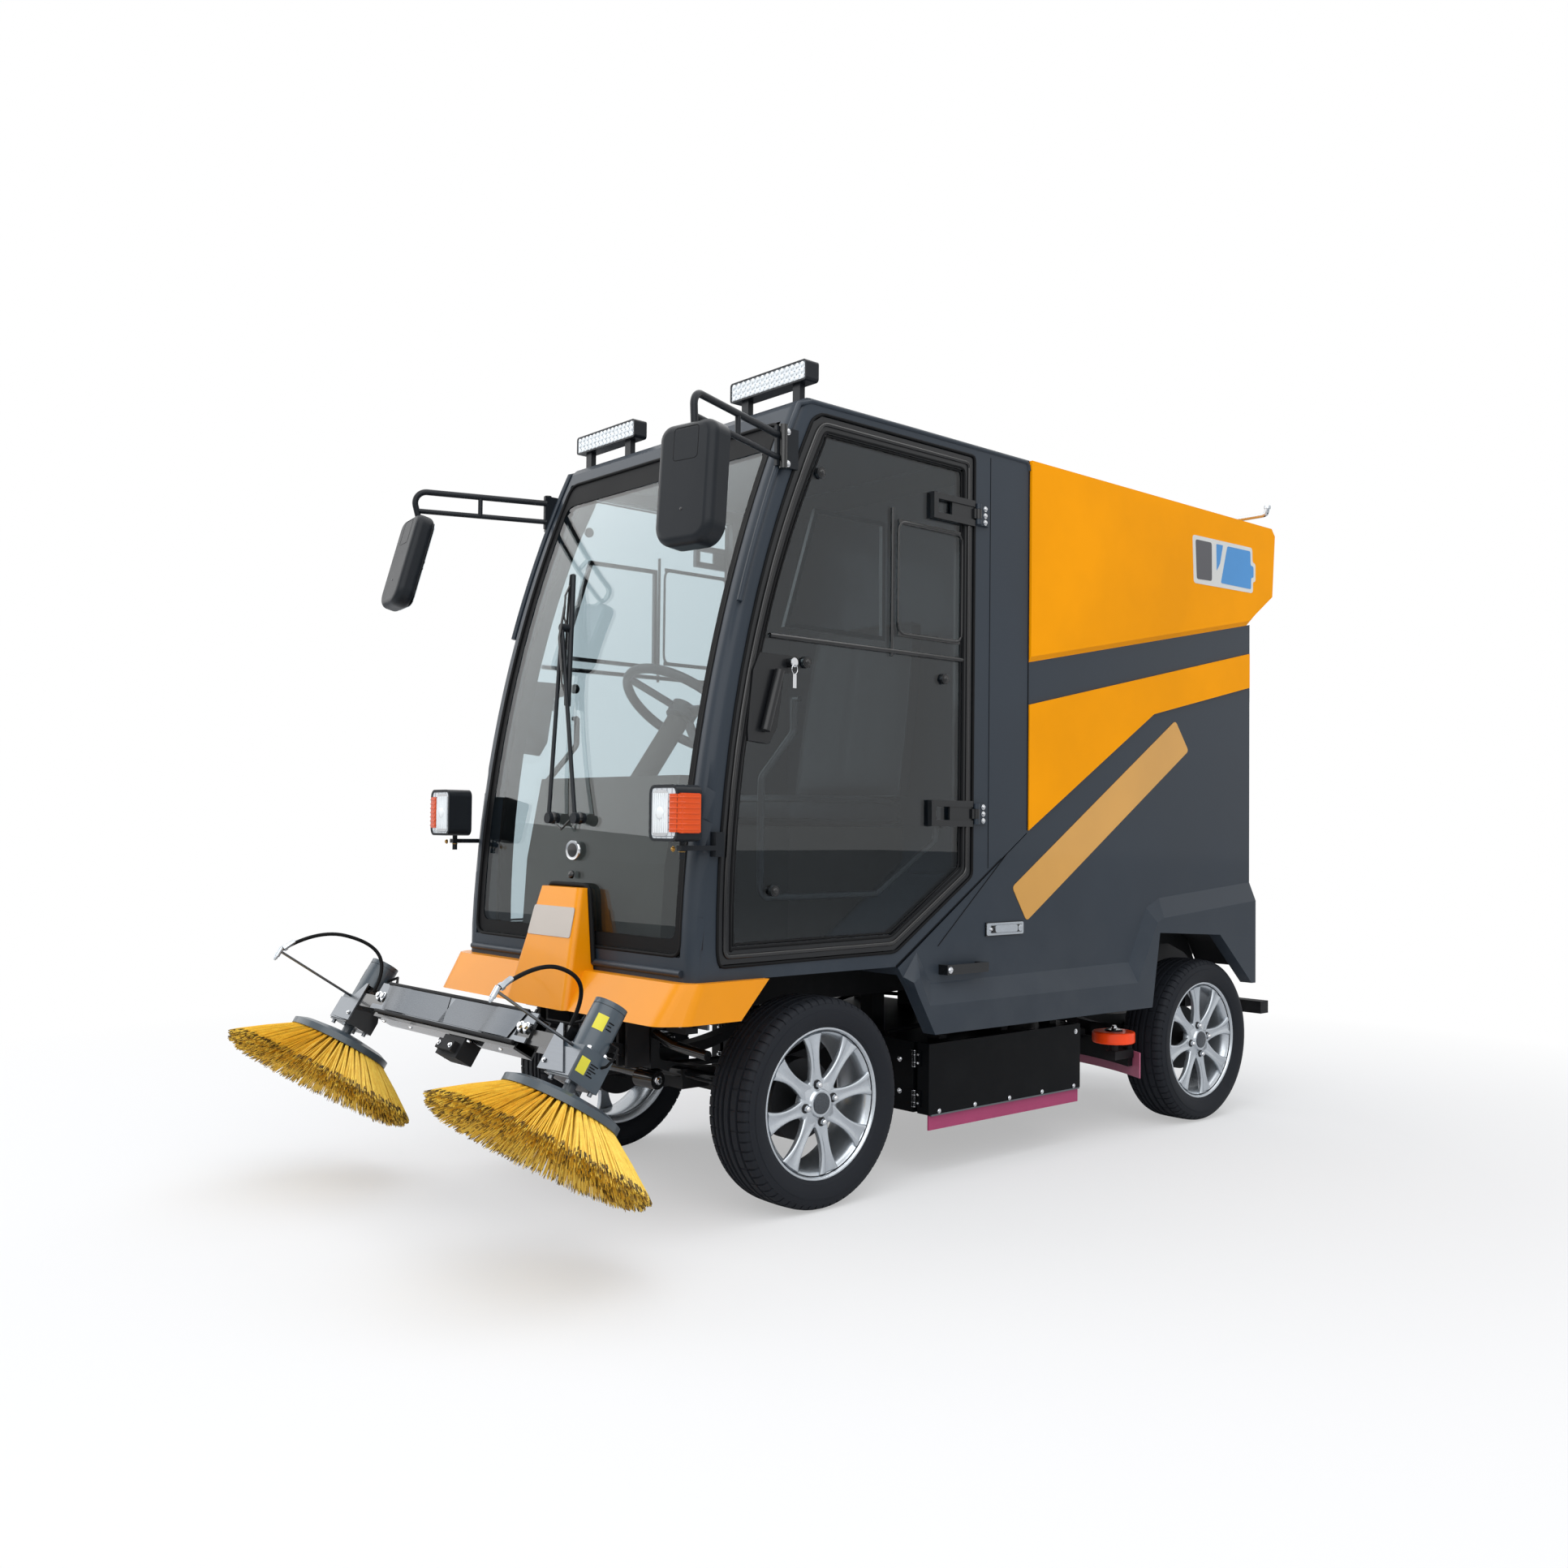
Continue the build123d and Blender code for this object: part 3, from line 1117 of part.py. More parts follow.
with BuildPart() as main_broom:
    rod_x((-broom_half, broom_half), at_station(broom_station), broom_height, broom_radius)
    for side in (-1, 1):
        rod_x(on_side(side, broom_half - broom_socket - 4, broom_half + 1), at_station(broom_station),
              broom_height, broom_shaft_radius + running_fit, mode=Mode.SUBTRACT)
save("main_broom", main_broom.part)

with BuildPart() as deck_door_left:
    door_inner = deck_half - deck_door_thickness
    block((door_inner, deck_half), (deck_face_y, at_station(deck_rear)), (deck_bottom, deck_top))
    block((deck_flange_edge, deck_half), (deck_face_y, deck_face_y + deck_flange_thickness),
          (deck_bottom, deck_top))
    for height in deck_hinge_heights:
        block((deck_flange_edge, deck_hinge_x + deck_leaf_width),
              (deck_face_y - deck_leaf_thickness, deck_face_y),
              (height - deck_leaf_half, height + deck_leaf_half))
        rod_z(deck_hinge_x, deck_hinge_y, (height - deck_knuckle, height + deck_knuckle), deck_hinge_radius)
        block((deck_hinge_x, deck_flange_edge + 1), (deck_face_y - deck_leaf_thickness, deck_face_y),
              (height - deck_knuckle, height + deck_knuckle))
        rod_z(deck_hinge_x, deck_hinge_y, (height - deck_knuckle - 1, height + deck_knuckle + 1),
              deck_pin_radius + running_fit, mode=Mode.SUBTRACT)
save("deck_door_left", deck_door_left.part)
save("deck_door_right", mirror(deck_door_left.part, about=Plane.YZ))

with BuildPart() as deck_skirt_left:
    block((door_inner, door_inner + skirt_thickness), (deck_face_y + 8, at_station(deck_rear) - 2),
          (skirt_bottom, deck_bottom))
save("deck_skirt_left", deck_skirt_left.part)
save("deck_skirt_right", mirror(deck_skirt_left.part, about=Plane.YZ))

squeegee_half = 500.0
squeegee_end = 1466.0
squeegee_middle = 1596.0
squeegee_low = 178.0
squeegee_high = 262.0
blade_thickness = 6.0
carrier_thickness = 26.0
carrier_low = 212.0
carrier_high = 300.0
carrier_short = 42.0          # the carrier ends this far inside the blade
tow_bar_x = (165.0, 205.0)
tow_bar_depth = 30.0
guide_x = 445.0
guide_station = 1398.0
guide_radius = 70.0
guide_low = 297.0
guide_high = 335.0
guide_bolt_radius = 8.0
guide_arm_half = 22.0
guide_arm = (carrier_low + 30, carrier_high - 30)
guide_boss_radius = 16.0
guide_gap = 1.5


def squeegee_arc(front, rear, reach, low, high):
    """A strip curved rearwards in plan, from side to side."""
    ends = squeegee_end + (squeegee_middle - squeegee_end) * (1 - (reach / squeegee_half) ** 2)
    with BuildSketch(Plane.XY.offset(low)) as strip:
        with BuildLine():
            ThreePointArc((-reach, at_station(ends) + front), (0, at_station(squeegee_middle) + front),
                          (reach, at_station(ends) + front))
            Line((reach, at_station(ends) + front), (reach, at_station(ends) + rear))
            ThreePointArc((reach, at_station(ends) + rear), (0, at_station(squeegee_middle) + rear),
                          (-reach, at_station(ends) + rear))
            Line((-reach, at_station(ends) + rear), (-reach, at_station(ends) + front))
        make_face()
    return extrude(strip.sketch, amount=high - low)


with BuildPart() as squeegee_carrier:
    squeegee_arc(-carrier_thickness, 0, squeegee_half - carrier_short, carrier_low, carrier_high - 20)
    for side in (-1, 1):
        tow_bar = on_side(side, *tow_bar_x)
        block(tow_bar, (at_station(deck_rear), at_station(squeegee_middle) - carrier_thickness),
              (carrier_high - tow_bar_depth, carrier_high))
        block(tow_bar, (at_station(deck_rear), at_station(deck_rear) + tow_bar_depth),
              (carrier_high - tow_bar_depth, rail_bottom))
        block(on_side(side, guide_x - guide_arm_half, guide_x + guide_arm_half),
              (at_station(guide_station) - guide_arm_half, at_station(squeegee_end) + 14), guide_arm)
        rod_z(side * guide_x, at_station(guide_station), (guide_arm[1] - 1, guide_low - guide_gap),
              guide_boss_radius)
        rod_z(side * guide_x, at_station(guide_station), (guide_arm[1] - 1, guide_high + 8),
              guide_bolt_radius)
save("squeegee_carrier", squeegee_carrier.part)

with BuildPart() as squeegee_blade:
    squeegee_arc(0, blade_thickness, squeegee_half, squeegee_low, squeegee_high)
save("squeegee_blade", squeegee_blade.part)

for side, name in ((1, "left"), (-1, "right")):
    with BuildPart() as guide_wheel:
        rod_z(side * guide_x, at_station(guide_station), (guide_low, guide_high), guide_radius)
        fillet(guide_wheel.edges().filter_by(GeomType.CIRCLE), radius=7)
        rod_z(side * guide_x, at_station(guide_station), (guide_low - 1, guide_high + 1),
              guide_bolt_radius + running_fit, mode=Mode.SUBTRACT)
    save(f"guide_wheel_{name}", guide_wheel.part)

# ---------------------------------------------------------------- front brush lift
# Built in the frame of the lowered brushes: x across, y rearwards, z along the brush
# axes, with the lift pivot at the origin, then raised to its parked place.
lift_plane = Plane(origin=(0, at_station(lift_pivot[0]), lift_pivot[1]), x_dir=(1, 0, 0),
                   z_dir=(0, sin(radians(lift_angle)), cos(radians(lift_angle))))
beam_front = -436.0
beam_rear = -376.0
beam_low = -182.0
beam_high = -85.0
beam_half = 358.0
beam_wall = 5.0
arm_x = 178.0
arm_width = 24.0
pivot_boss_radius = 26.0
gearbox_half = 44.0
gearbox_low = 38.0            # above the middle of the brush disc
gearbox_high = 118.0
shaft_radius = 14.0
cheek_plate = 10.0
gearbox_bottom = brush_disc_height + gearbox_low
gearbox_front = brush_behind_pivot - gearbox_half
inner_cheek = (brush_x - gearbox_half - cheek_plate, brush_x - gearbox_half)
plate_thickness = 4.0
face_plate_half = beam_half + 36
face_plate_centre = 203.0
face_slot = (beam_half - 20, beam_half + 38)
face_slot_half = 17.0
beam_middle = (beam_low + beam_high) / 2
gusset_inner = inner_cheek[0] - 22
gusset_outer = brush_x + 26
gusset_top = -98.0
bolt_head_radius = 7.5
bolt_head = 6.0
gearbox_bolt_inset = 10.0


def lifted(part):
    return lift_plane.location * part


with BuildPart() as lift_frame:
    block((-beam_half, beam_half), (beam_front, beam_rear), (beam_low, beam_high))
    block((-beam_half - 1, beam_half + 1), (beam_front + beam_wall, beam_rear - beam_wall),
          (beam_low + beam_wall, beam_high - beam_wall), mode=Mode.SUBTRACT)
    for side in (-1, 1):
        block(on_side(side, beam_half - 60, inner_cheek[1]), (beam_front + beam_wall, beam_rear - beam_wall),
              (beam_low + 20, beam_high - 40))
        block(on_side(side, beam_half - 1, face_plate_half), (beam_front, beam_front + beam_wall + 1),
              (beam_low + 20, beam_high - 26))
        arm_edges = on_side(side, arm_x, arm_x + arm_width)
        prism([(beam_rear, beam_low + 8), (beam_rear, beam_high - 8), (8, 22), (8, -22), (-60, -26)],
              *arm_edges)
        rod_x(arm_edges, 0, 0, pivot_boss_radius)
        rod_x((arm_edges[0] - 1, arm_edges[1] + 1), 0, 0, kingpin_radius + running_fit, mode=Mode.SUBTRACT)
        prism([(gearbox_front, gearbox_bottom), (gearbox_front, gusset_top), (beam_rear, gusset_top),
               (beam_rear + 36, gearbox_bottom + 40), (beam_rear + 36, gearbox_bottom)],
              *on_side(side, *inner_cheek))
save("lift_frame", lifted(lift_frame.part))

# bright plates and bolt heads on the front of the beam and of the gearboxes
with BuildPart() as lift_plates:
    block((-face_plate_half, face_plate_half), (beam_front - plate_thickness, beam_front),
          (beam_low + 18, beam_high - 4))
    block((-face_plate_centre, face_plate_centre), (beam_front - plate_thickness - 2, beam_front),
          (beam_low + 18, beam_high - 4))
    for side in (-1, 1):
        block(on_side(side, face_slot[0], face_slot[1]), (beam_front - plate_thickness - 1, beam_front + 1),
              (beam_middle - face_slot_half, beam_middle + face_slot_half), mode=Mode.SUBTRACT)
        for bolt_x in (face_slot[0] + 13, face_slot[0] + 38):
            rod_y(side * bolt_x, (beam_front - bolt_head, beam_front), beam_middle, bolt_head_radius)
        block(on_side(side, inner_cheek[1], brush_x + gearbox_half),
              (gearbox_front - plate_thickness, gearbox_front), (gearbox_bottom + 4, gearbox_bottom + 66))
        with BuildSketch(Plane(origin=(0, gearbox_front - plate_thickness, 0), x_dir=(1, 0, 0),
                               z_dir=(0, -1, 0))) as gusset:
            with BuildLine():
                Polyline((side * gusset_inner, gearbox_bottom + 4), (side * gusset_outer, gearbox_bottom + 8),
                         (side * (gusset_inner + 12), gusset_top), (side * gusset_inner, gusset_top),
                         close=True)
            make_face()
        extrude(gusset.sketch, amount=plate_thickness)
        rod_x(on_side(side, inner_cheek[0] - bolt_head, inner_cheek[0]), gearbox_front + 22, gusset_top - 14,
              bolt_head_radius)
        bolt_reach = gearbox_half - gearbox_bolt_inset
        for bolt_x in (brush_x - bolt_reach, brush_x + bolt_reach):
            for bolt_y in (gearbox_front + gearbox_half - bolt_reach, gearbox_front + gearbox_half + bolt_reach):
                rod_z(side * bolt_x, bolt_y, (gearbox_bottom - 9, gearbox_bottom), bolt_head_radius - 2)
save("lift_plates", lifted(lift_plates.part))

motor_cap = 14.0
with BuildPart() as brush_motors:
    for side in (-1, 1):
        block((side * brush_x - gearbox_half, side * brush_x + gearbox_half),
              (gearbox_front, gearbox_front + 2 * gearbox_half),
              (gearbox_bottom, brush_disc_height + gearbox_high))
        rod_z(side * brush_x, brush_behind_pivot,
              (brush_disc_height + gearbox_high, brush_disc_height + motor_top - motor_cap), motor_radius)
        rod_z(side * brush_x, brush_behind_pivot,
              (brush_disc_height + motor_top - motor_cap - 1, brush_disc_height + motor_top - motor_cap + 2),
              motor_radius - 2)
        rod_z(side * brush_x, brush_behind_pivot,
              (brush_disc_height + motor_top - motor_cap + 2, brush_disc_height + motor_top), motor_radius)
        rod_z(side * brush_x, brush_behind_pivot, (brush_disc_height - 2, gearbox_bottom), shaft_radius)
save("brush_motors", lifted(brush_motors.part))

brush_disc_thickness = 26.0
disc_skirt = 9.0
disc_skirt_width = 8.0
disc_flat = 60.0
disc_under = -brush_disc_thickness / 2
skirt_inner = brush_disc_radius - disc_skirt_width
with BuildPart() as brush_disc_left:
    section = Plane(origin=(brush_x, brush_behind_pivot, brush_disc_height), x_dir=(1, 0, 0),
                    z_dir=(0, -1, 0))
    with BuildSketch(section):
        with BuildLine():
            Polyline((0, disc_under), (skirt_inner, disc_under), (skirt_inner, disc_under - disc_skirt),
                     (brush_disc_radius, disc_under - disc_skirt), (brush_disc_radius, disc_under + 8),
                     (brush_disc_radius - 22, -disc_under - 9), (disc_flat, -disc_under), (0, -disc_under),
                     close=True)
        make_face()
    revolve(axis=Axis((brush_x, brush_behind_pivot, brush_disc_height), (0, 0, 1)))
    rod_z(brush_x, brush_behind_pivot, (brush_disc_height - 3, brush_disc_height + brush_disc_thickness),
          shaft_radius + running_fit, mode=Mode.SUBTRACT)
bristle_root = skirt_inner - 0.5
with BuildPart() as bristles_left:
    with BuildSketch(section):
        with BuildLine():
            Polyline((70, disc_under), (bristle_root, disc_under),
                     (bristle_root, disc_under - disc_skirt - 0.5),
                     (brush_tip_radius, -bristle_drop + bristle_edge), (brush_tip_radius - 22, -bristle_drop),
                     (175, -bristle_drop), close=True)
        make_face()
    revolve(axis=Axis((brush_x, brush_behind_pivot, brush_disc_height), (0, 0, 1)))
for name, brush_part in (("brush_disc", brush_disc_left.part), ("bristles", bristles_left.part)):
    save(f"{name}_left", lifted(brush_part))
    save(f"{name}_right", mirror(lifted(brush_part), about=Plane.YZ))

spray_reach = -671.0
spray_height = -140.0
spray_rod_radius = 3.5
nozzle_radius = 7.0
hose_radius = 5.0
hose_bends = [110.0, 84.0, 56.0]
hose_backs = (60.0, 200.0, 262.0)      # how far the hose's bends lie behind the nozzle
hose_rises = (110.0, 150.0, 100.0)     # and above the rod
hose_inward = (40.0, 70.0, 74.0)
hose_end_drop = 25.0
with BuildPart() as spray_lines:
    for side in (-1, 1):
        tip_x = brush_x + 10
        straight_rod((side * brush_x, gearbox_front - 0.2, spray_height),
                     (side * tip_x, spray_reach, spray_height + 6), spray_rod_radius)
        rod_z(side * tip_x, spray_reach, (spray_height - 10, spray_height + 16), nozzle_radius)
        bent_rod([(side * tip_x, spray_reach + 4, spray_height + 14),
                  (side * (brush_x + 4), spray_reach + hose_backs[0], spray_height + hose_rises[0]),
                  (side * (brush_x - hose_inward[0]), spray_reach + hose_backs[1], spray_height + hose_rises[1]),
                  (side * (brush_x - hose_inward[1]), spray_reach + hose_backs[2], spray_height + hose_rises[2]),
                  (side * (brush_x - hose_inward[2]), spray_reach + hose_backs[2], beam_high - hose_end_drop)],
                 hose_bends, hose_radius)
save("spray_lines", lifted(spray_lines.part))
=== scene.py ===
"""Compact road sweeper: finishes, fine detail, lights and camera around the fixed frame."""
import random
from math import atan2, cos, exp, hypot, pi, radians, sin, tau

import bmesh
import bpy
from mathutils import Matrix, Vector


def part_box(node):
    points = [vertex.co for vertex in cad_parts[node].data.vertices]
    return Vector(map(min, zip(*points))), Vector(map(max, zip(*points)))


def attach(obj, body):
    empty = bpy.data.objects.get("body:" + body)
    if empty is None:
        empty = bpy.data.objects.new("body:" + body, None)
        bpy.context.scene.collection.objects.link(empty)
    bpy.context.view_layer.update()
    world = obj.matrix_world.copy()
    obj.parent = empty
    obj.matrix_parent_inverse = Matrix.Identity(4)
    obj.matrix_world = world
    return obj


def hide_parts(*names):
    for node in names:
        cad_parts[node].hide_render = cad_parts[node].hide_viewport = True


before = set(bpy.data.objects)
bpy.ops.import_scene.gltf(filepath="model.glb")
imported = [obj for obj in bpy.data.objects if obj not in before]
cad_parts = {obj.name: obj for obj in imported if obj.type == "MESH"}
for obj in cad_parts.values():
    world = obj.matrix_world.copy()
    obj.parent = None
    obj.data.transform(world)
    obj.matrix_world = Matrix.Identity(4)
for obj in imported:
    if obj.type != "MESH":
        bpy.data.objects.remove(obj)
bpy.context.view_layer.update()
tyre_low, tyre_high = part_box("tyre_front_left")
axle_y = (tyre_low.y + tyre_high.y) / 2
cell_pitch = (19.8, 16.5)              # millimetres between the roof lights' cells


# ---------------- shader expressions
def srgb(code, scale=1.0, lift=0.0):
    """A colour written as a web code, as linear values, each scaled and lifted."""
    values = [int(code[i:i + 2], 16) / 255 for i in (0, 2, 4)]
    linear = [v / 12.92 if v <= 0.04045 else ((v + 0.055) / 1.055) ** 2.4 for v in values]
    return (*(v * scale + lift for v in linear), 1.0)


class Wire:
    """A shader socket that can stand in sums."""

    def __init__(self, graph, socket):
        self.graph = graph
        self.socket = socket

    def math(self, operation, *others, first=None):
        inputs = [self if first is None else first, *others]
        return self.graph.node("ShaderNodeMath", {"operation": operation}, inputs)

    def __add__(self, other):
        return self.math("ADD", other)

    def __sub__(self, other):
        return self.math("SUBTRACT", other)

    def __rsub__(self, other):
        return self.math("SUBTRACT", self, first=other)

    def __mul__(self, other):
        return self.math("MULTIPLY", other)

    def __pow__(self, other):
        return self.math("POWER", other)

    __radd__ = __add__
    __rmul__ = __mul__

    def clipped(self):
        return self.graph.node("ShaderNodeClamp", {}, [self, 0.0, 1.0])

    def ramp(self, low, high):
        """0 at low, 1 at high, and straight between."""
        return ((self - low) * (1 / (high - low))).clipped()


class Graph:
    """A tree of shader nodes."""

    def __init__(self, tree):
        self.tree = tree

    def node(self, kind, settings=None, values=(), output=0):
        """A node of a type, with its settings, then the values or links of its sockets."""
        node = self.tree.nodes.new(kind)
        for key, value in (settings or {}).items():
            setattr(node, key, value)
        for key, value in values.items() if isinstance(values, dict) else enumerate(values):
            self.feed(node.inputs[key], value)
        return Wire(self, node.outputs[output])

    def feed(self, socket, value):
        if isinstance(value, Wire):
            self.tree.links.new(value.socket, socket)
        else:
            socket.default_value = value

    def surface(self, value, output="Material Output"):
        self.feed(self.tree.nodes[output].inputs["Surface"], value)


class Finish(Graph):
    """One named material made of nodes."""

    def __init__(self, name, **shader):
        self.material = bpy.data.materials.new(name)
        self.material.use_nodes = True
        super().__init__(self.material.node_tree)
        self.where = self.node("ShaderNodeTexCoord", output="Object")       # in metres
        self.set(**shader)

    def set(self, **shader):
        """Feed the surface shader; names are its sockets' with _ for spaces."""
        for key, value in shader.items():
            self.feed(self.tree.nodes["Principled BSDF"].inputs[key.replace("_", " ")], value)

    def axes(self):
        parts = self.node("ShaderNodeSeparateXYZ", values=[self.where])
        return [Wire(self, socket) for socket in parts.socket.node.outputs]

    def noise(self, scale, detail=3.0, stretch=None):
        place = self.where
        if stretch:
            place = self.node("ShaderNodeVectorMath", {"operation": "MULTIPLY"}, [place, stretch])
        return self.node("ShaderNodeTexNoise", values={
            "Vector": place, "Scale": scale, "Detail": detail, "Roughness": 0.55})

    def mix(self, factor, first, second):
        sockets = {0: factor, 6: first, 7: second}
        return self.node("ShaderNodeMix", {"data_type": "RGBA"}, sockets, output=2)

    def bump(self, height, strength, distance):
        return self.node("ShaderNodeBump", values={
            "Height": height, "Strength": strength, "Distance": distance})


def painted(name, colour, roughness, coat=0.0, dust=0.10, texture=0.03, shine=0.5):
    """Sprayed paint with orange peel, faint dust low down and small changes of tone."""
    paint = Finish(name, Coat_Roughness=0.06, Specular_IOR_Level=shine)
    tone = paint.noise(1.7, detail=4)
    grain = paint.noise(900, detail=2)
    shade = paint.mix(tone.ramp(0.35, 0.65), srgb(colour, 0.88), srgb(colour))
    low = 1 - paint.axes()[2].ramp(0.25, 1.0)
    dirt = low * paint.noise(6, detail=6).ramp(0.45, 0.75) * dust * 4
    paint.set(Base_Color=paint.mix(dirt.clipped(), shade, srgb(colour, 0.9, 0.05)),
              Roughness=roughness + 0.10 * tone + dirt * 0.5,
              Coat_Weight=coat,
              Normal=paint.bump(grain, texture, 0.002))
    return paint


def plastic(name, colour, roughness, grain_scale=700, grain=0.12, shine=0.32):
    """Moulded plastic with a fine leather grain."""
    skin = Finish(name, Specular_IOR_Level=shine)
    patches = skin.noise(9, detail=5)
    skin.set(Base_Color=skin.mix(patches, srgb(colour), srgb(colour, 1.25, 0.004)),
             Roughness=roughness + 0.15 * (patches - 0.5),
             Normal=skin.bump(skin.noise(grain_scale, detail=2), grain, 0.001))
    return skin


def metal(name, colour, roughness, brushed=0.0, direction=(1.0, 1.0, 1.0), metallic=1.0):
    """Bare or plated metal, brushed along the axis with the small factor."""
    bare = Finish(name, Metallic=metallic)
    streaks = bare.noise(160, stretch=direction)
    bare.set(Base_Color=bare.mix(streaks, srgb(colour, 0.8), srgb(colour)),
             Roughness=roughness + brushed * streaks,
             Normal=bare.bump(streaks, 0.02 + 0.2 * brushed, 0.0005))
    return bare


def glass(name, tint, veil):
    """Tinted pane: what is behind shows through the tint, and the sky mirrors in it at a slant."""
    pane = Finish(name)
    clear = pane.node("ShaderNodeBsdfTransparent", values=[srgb(tint)])
    mirror = pane.node("ShaderNodeBsdfGlossy", values={"Color": srgb("ffffff"), "Roughness": 0.0})
    facing = pane.node("ShaderNodeLayerWeight", values=[0.5], output=1)
    share = facing ** 5.0 * 0.9 + veil
    pane.surface(pane.node("ShaderNodeMixShader", values=[share.clipped(), clear, mirror]))
    return pane


def celled(name, colour, gap_colour, wall):
    """Lamp glass with a grid of small cells behind it."""
    lens = Finish(name, Coat_Weight=0.8, Coat_Roughness=0.02)
    x, _, z = lens.axes()
    lines = [((place * (1000 / step)).math("FRACT") - 0.5).math("ABSOLUTE").ramp(0.5 - wall, 0.5)
             for place, step in zip((x, z), cell_pitch)]
    edge = lines[0].math("MAXIMUM", lines[1])
    lens.set(Base_Color=lens.mix(edge, srgb(colour), srgb(gap_colour)),
             Roughness=0.08 + 0.3 * edge,
             Normal=lens.bump(1 - edge, 0.6, 0.003))
    return lens


def straw(name, colour, dark, roughness=0.42):
    """Plastic bristle, each strand a little lighter or darker than the next."""
    strand = Finish(name)
    tone = strand.noise(60, detail=2)
    streak = strand.noise(420, detail=1)
    strand.set(Base_Color=strand.mix((tone * 0.6 + streak * 0.5).ramp(0.3, 0.75), srgb(dark), srgb(colour)),
               Roughness=roughness + 0.2 * tone,
               Normal=strand.bump(streak, 0.1, 0.001))
    return strand


crosswise = (0.05, 1.0, 1.0)            # brushed along x
finishes = {
    "charcoal": painted("charcoal_paint", "27303a", 0.40, coat=0.1, shine=0.28),
    "amber": painted("amber_paint", "ffa300", 0.45, dust=0.03, shine=0.08),
    "apron_amber": painted("apron_gloss_amber", "f39800", 0.30, 0.22, 0.02, 0.01, shine=0.2),
    "chassis": painted("chassis_black", "141518", 0.6, dust=0.15, shine=0.25),
    "deck": painted("deck_black", "080a0d", 0.34, dust=0.02, shine=0.08),
    "door": painted("door_black", "121417", 0.30, coat=0.25, dust=0.04, shine=0.3),
    "windscreen": glass("windscreen_glass", "eef4f5", 0.03),
    "door_glass": glass("door_glass", "dfe5e8", 0.035),
    "interior": plastic("interior_plastic", "26221e", 0.6, shine=0.2),
    "seat": plastic("seat_vinyl", "202124", 0.5, grain_scale=400),
    "black": plastic("black_plastic", "13171c", 0.36, shine=0.2),
    "gloss_black": painted("gloss_black", "0d0e10", 0.18, coat=0.4, dust=0.0, texture=0.01, shine=0.35),
    "seal": plastic("seal_rubber", "090a0c", 0.6, shine=0.12),
    "rubber": plastic("tyre_rubber", "16191f", 0.66, grain_scale=300, shine=0.2),
    "alloy": metal("alloy_silver", "c3c9cf", 0.27, metallic=0.75),
    "cast": metal("cast_dark", "3a3b3d", 0.6),
    "steel": metal("stainless", "74787d", 0.24, 0.12, crosswise),
    "pressed": metal("pressed_sheet", "5a5e63", 0.22, 0.1, crosswise),
    "chrome": metal("bright_bolt", "d8dadd", 0.14),
    "brass": metal("brass_bolt", "b08a4a", 0.3),
    "bristle": straw("yellow_bristle", "ffdf5e", "edb934"),
    "bristle_dark": straw("worn_bristle_tip", "5a471c", "1e1a10", 0.6),
    "bristle_brown": straw("brown_bristle_tip", "b8923a", "6e5420", 0.55),
    "broom": plastic("broom_bristle", "2b2a26", 0.7),
    "slate": painted("motor_slate", "3b4852", 0.34, coat=0.3, dust=0.05),
    "skirt": plastic("skirt_rubber", "a03b64", 0.45),
    "blade": plastic("squeegee_rubber", "b4647f", 0.4),
    "orange": plastic("guide_orange", "ff4a14", 0.3),
    "battery": plastic("battery_case", "3a3c40", 0.6),
    "lens": celled("lamp_lens", "d6dce1", "8f969e", 0.12),
    "signal": plastic("signal_lens", "cf4a10", 0.12),
    "light_cell": plastic("light_cell", "e4e8ea", 0.2),
    "gold_plate": painted("gold_plate", "dba14a", 0.38, coat=0.2, dust=0.02),
    "grey_plate": painted("grey_plate", "b9aea4", 0.35, coat=0.3, dust=0.02),
    "decal_white": painted("decal_white", "dcdcd8", 0.35, dust=0.0),
    "decal_blue": painted("decal_blue", "3f8fd0", 0.35, dust=0.0),
    "decal_grey": painted("decal_grey", "4b4b50", 0.35, dust=0.0),
    "label": painted("motor_label", "e6dc3c", 0.4, dust=0.0),
    "mirror_glass": metal("mirror_glass", "cfd6dc", 0.03),
}

# the fixed solids that take each finish; * stands for left and right
finish_nodes = {
    "chassis": "chassis_frame squeegee_carrier",
    "charcoal": "cab_frame body_shell rear_door",
    "apron_amber": "front_apron",
    "amber": "hopper_top side_bands",
    "windscreen": "windscreen",
    "door": "door_*",
    "door_glass": "door_glass_*",
    "interior": "cab_floor dashboard",
    "seat": "seat_cushions",
    "black": "lamp_housings mirrors wiper steering_wheel",
    "gloss_black": "body_fittings lift_frame",
    "lens": "lamp_lenses",
    "signal": "turn_signals",
    "battery": "battery_pack",
    "cast": "front_axle front_springs rear_axle knuckle_*",
    "rubber": "tyre_front_* tyre_rear_*",
    "alloy": "rim_front_* rim_rear_*",
    "deck": "scrub_deck deck_door_*",
    "skirt": "deck_skirt_*",
    "blade": "squeegee_blade",
    "orange": "guide_wheel_*",
    "broom": "main_broom",
    "steel": "lift_plates",
    "slate": "brush_motors brush_disc_*",
    "bristle": "bristles_*",
    "seal": "spray_lines",
}
for finish, nodes in finish_nodes.items():
    for node in [name.replace("*", side) for name in nodes.split() for side in ("left", "right")]:
        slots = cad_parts[node].data.materials
        slots.clear()
        slots.append(finishes[finish].material)


def round_edges(thing, width, segments, least_angle):
    rounding = thing.modifiers.new("rounded_edges", "BEVEL")
    rounding.width = width / 1000
    rounding.segments = segments
    rounding.limit_method = "ANGLE"
    rounding.angle_limit = radians(least_angle)
    return rounding


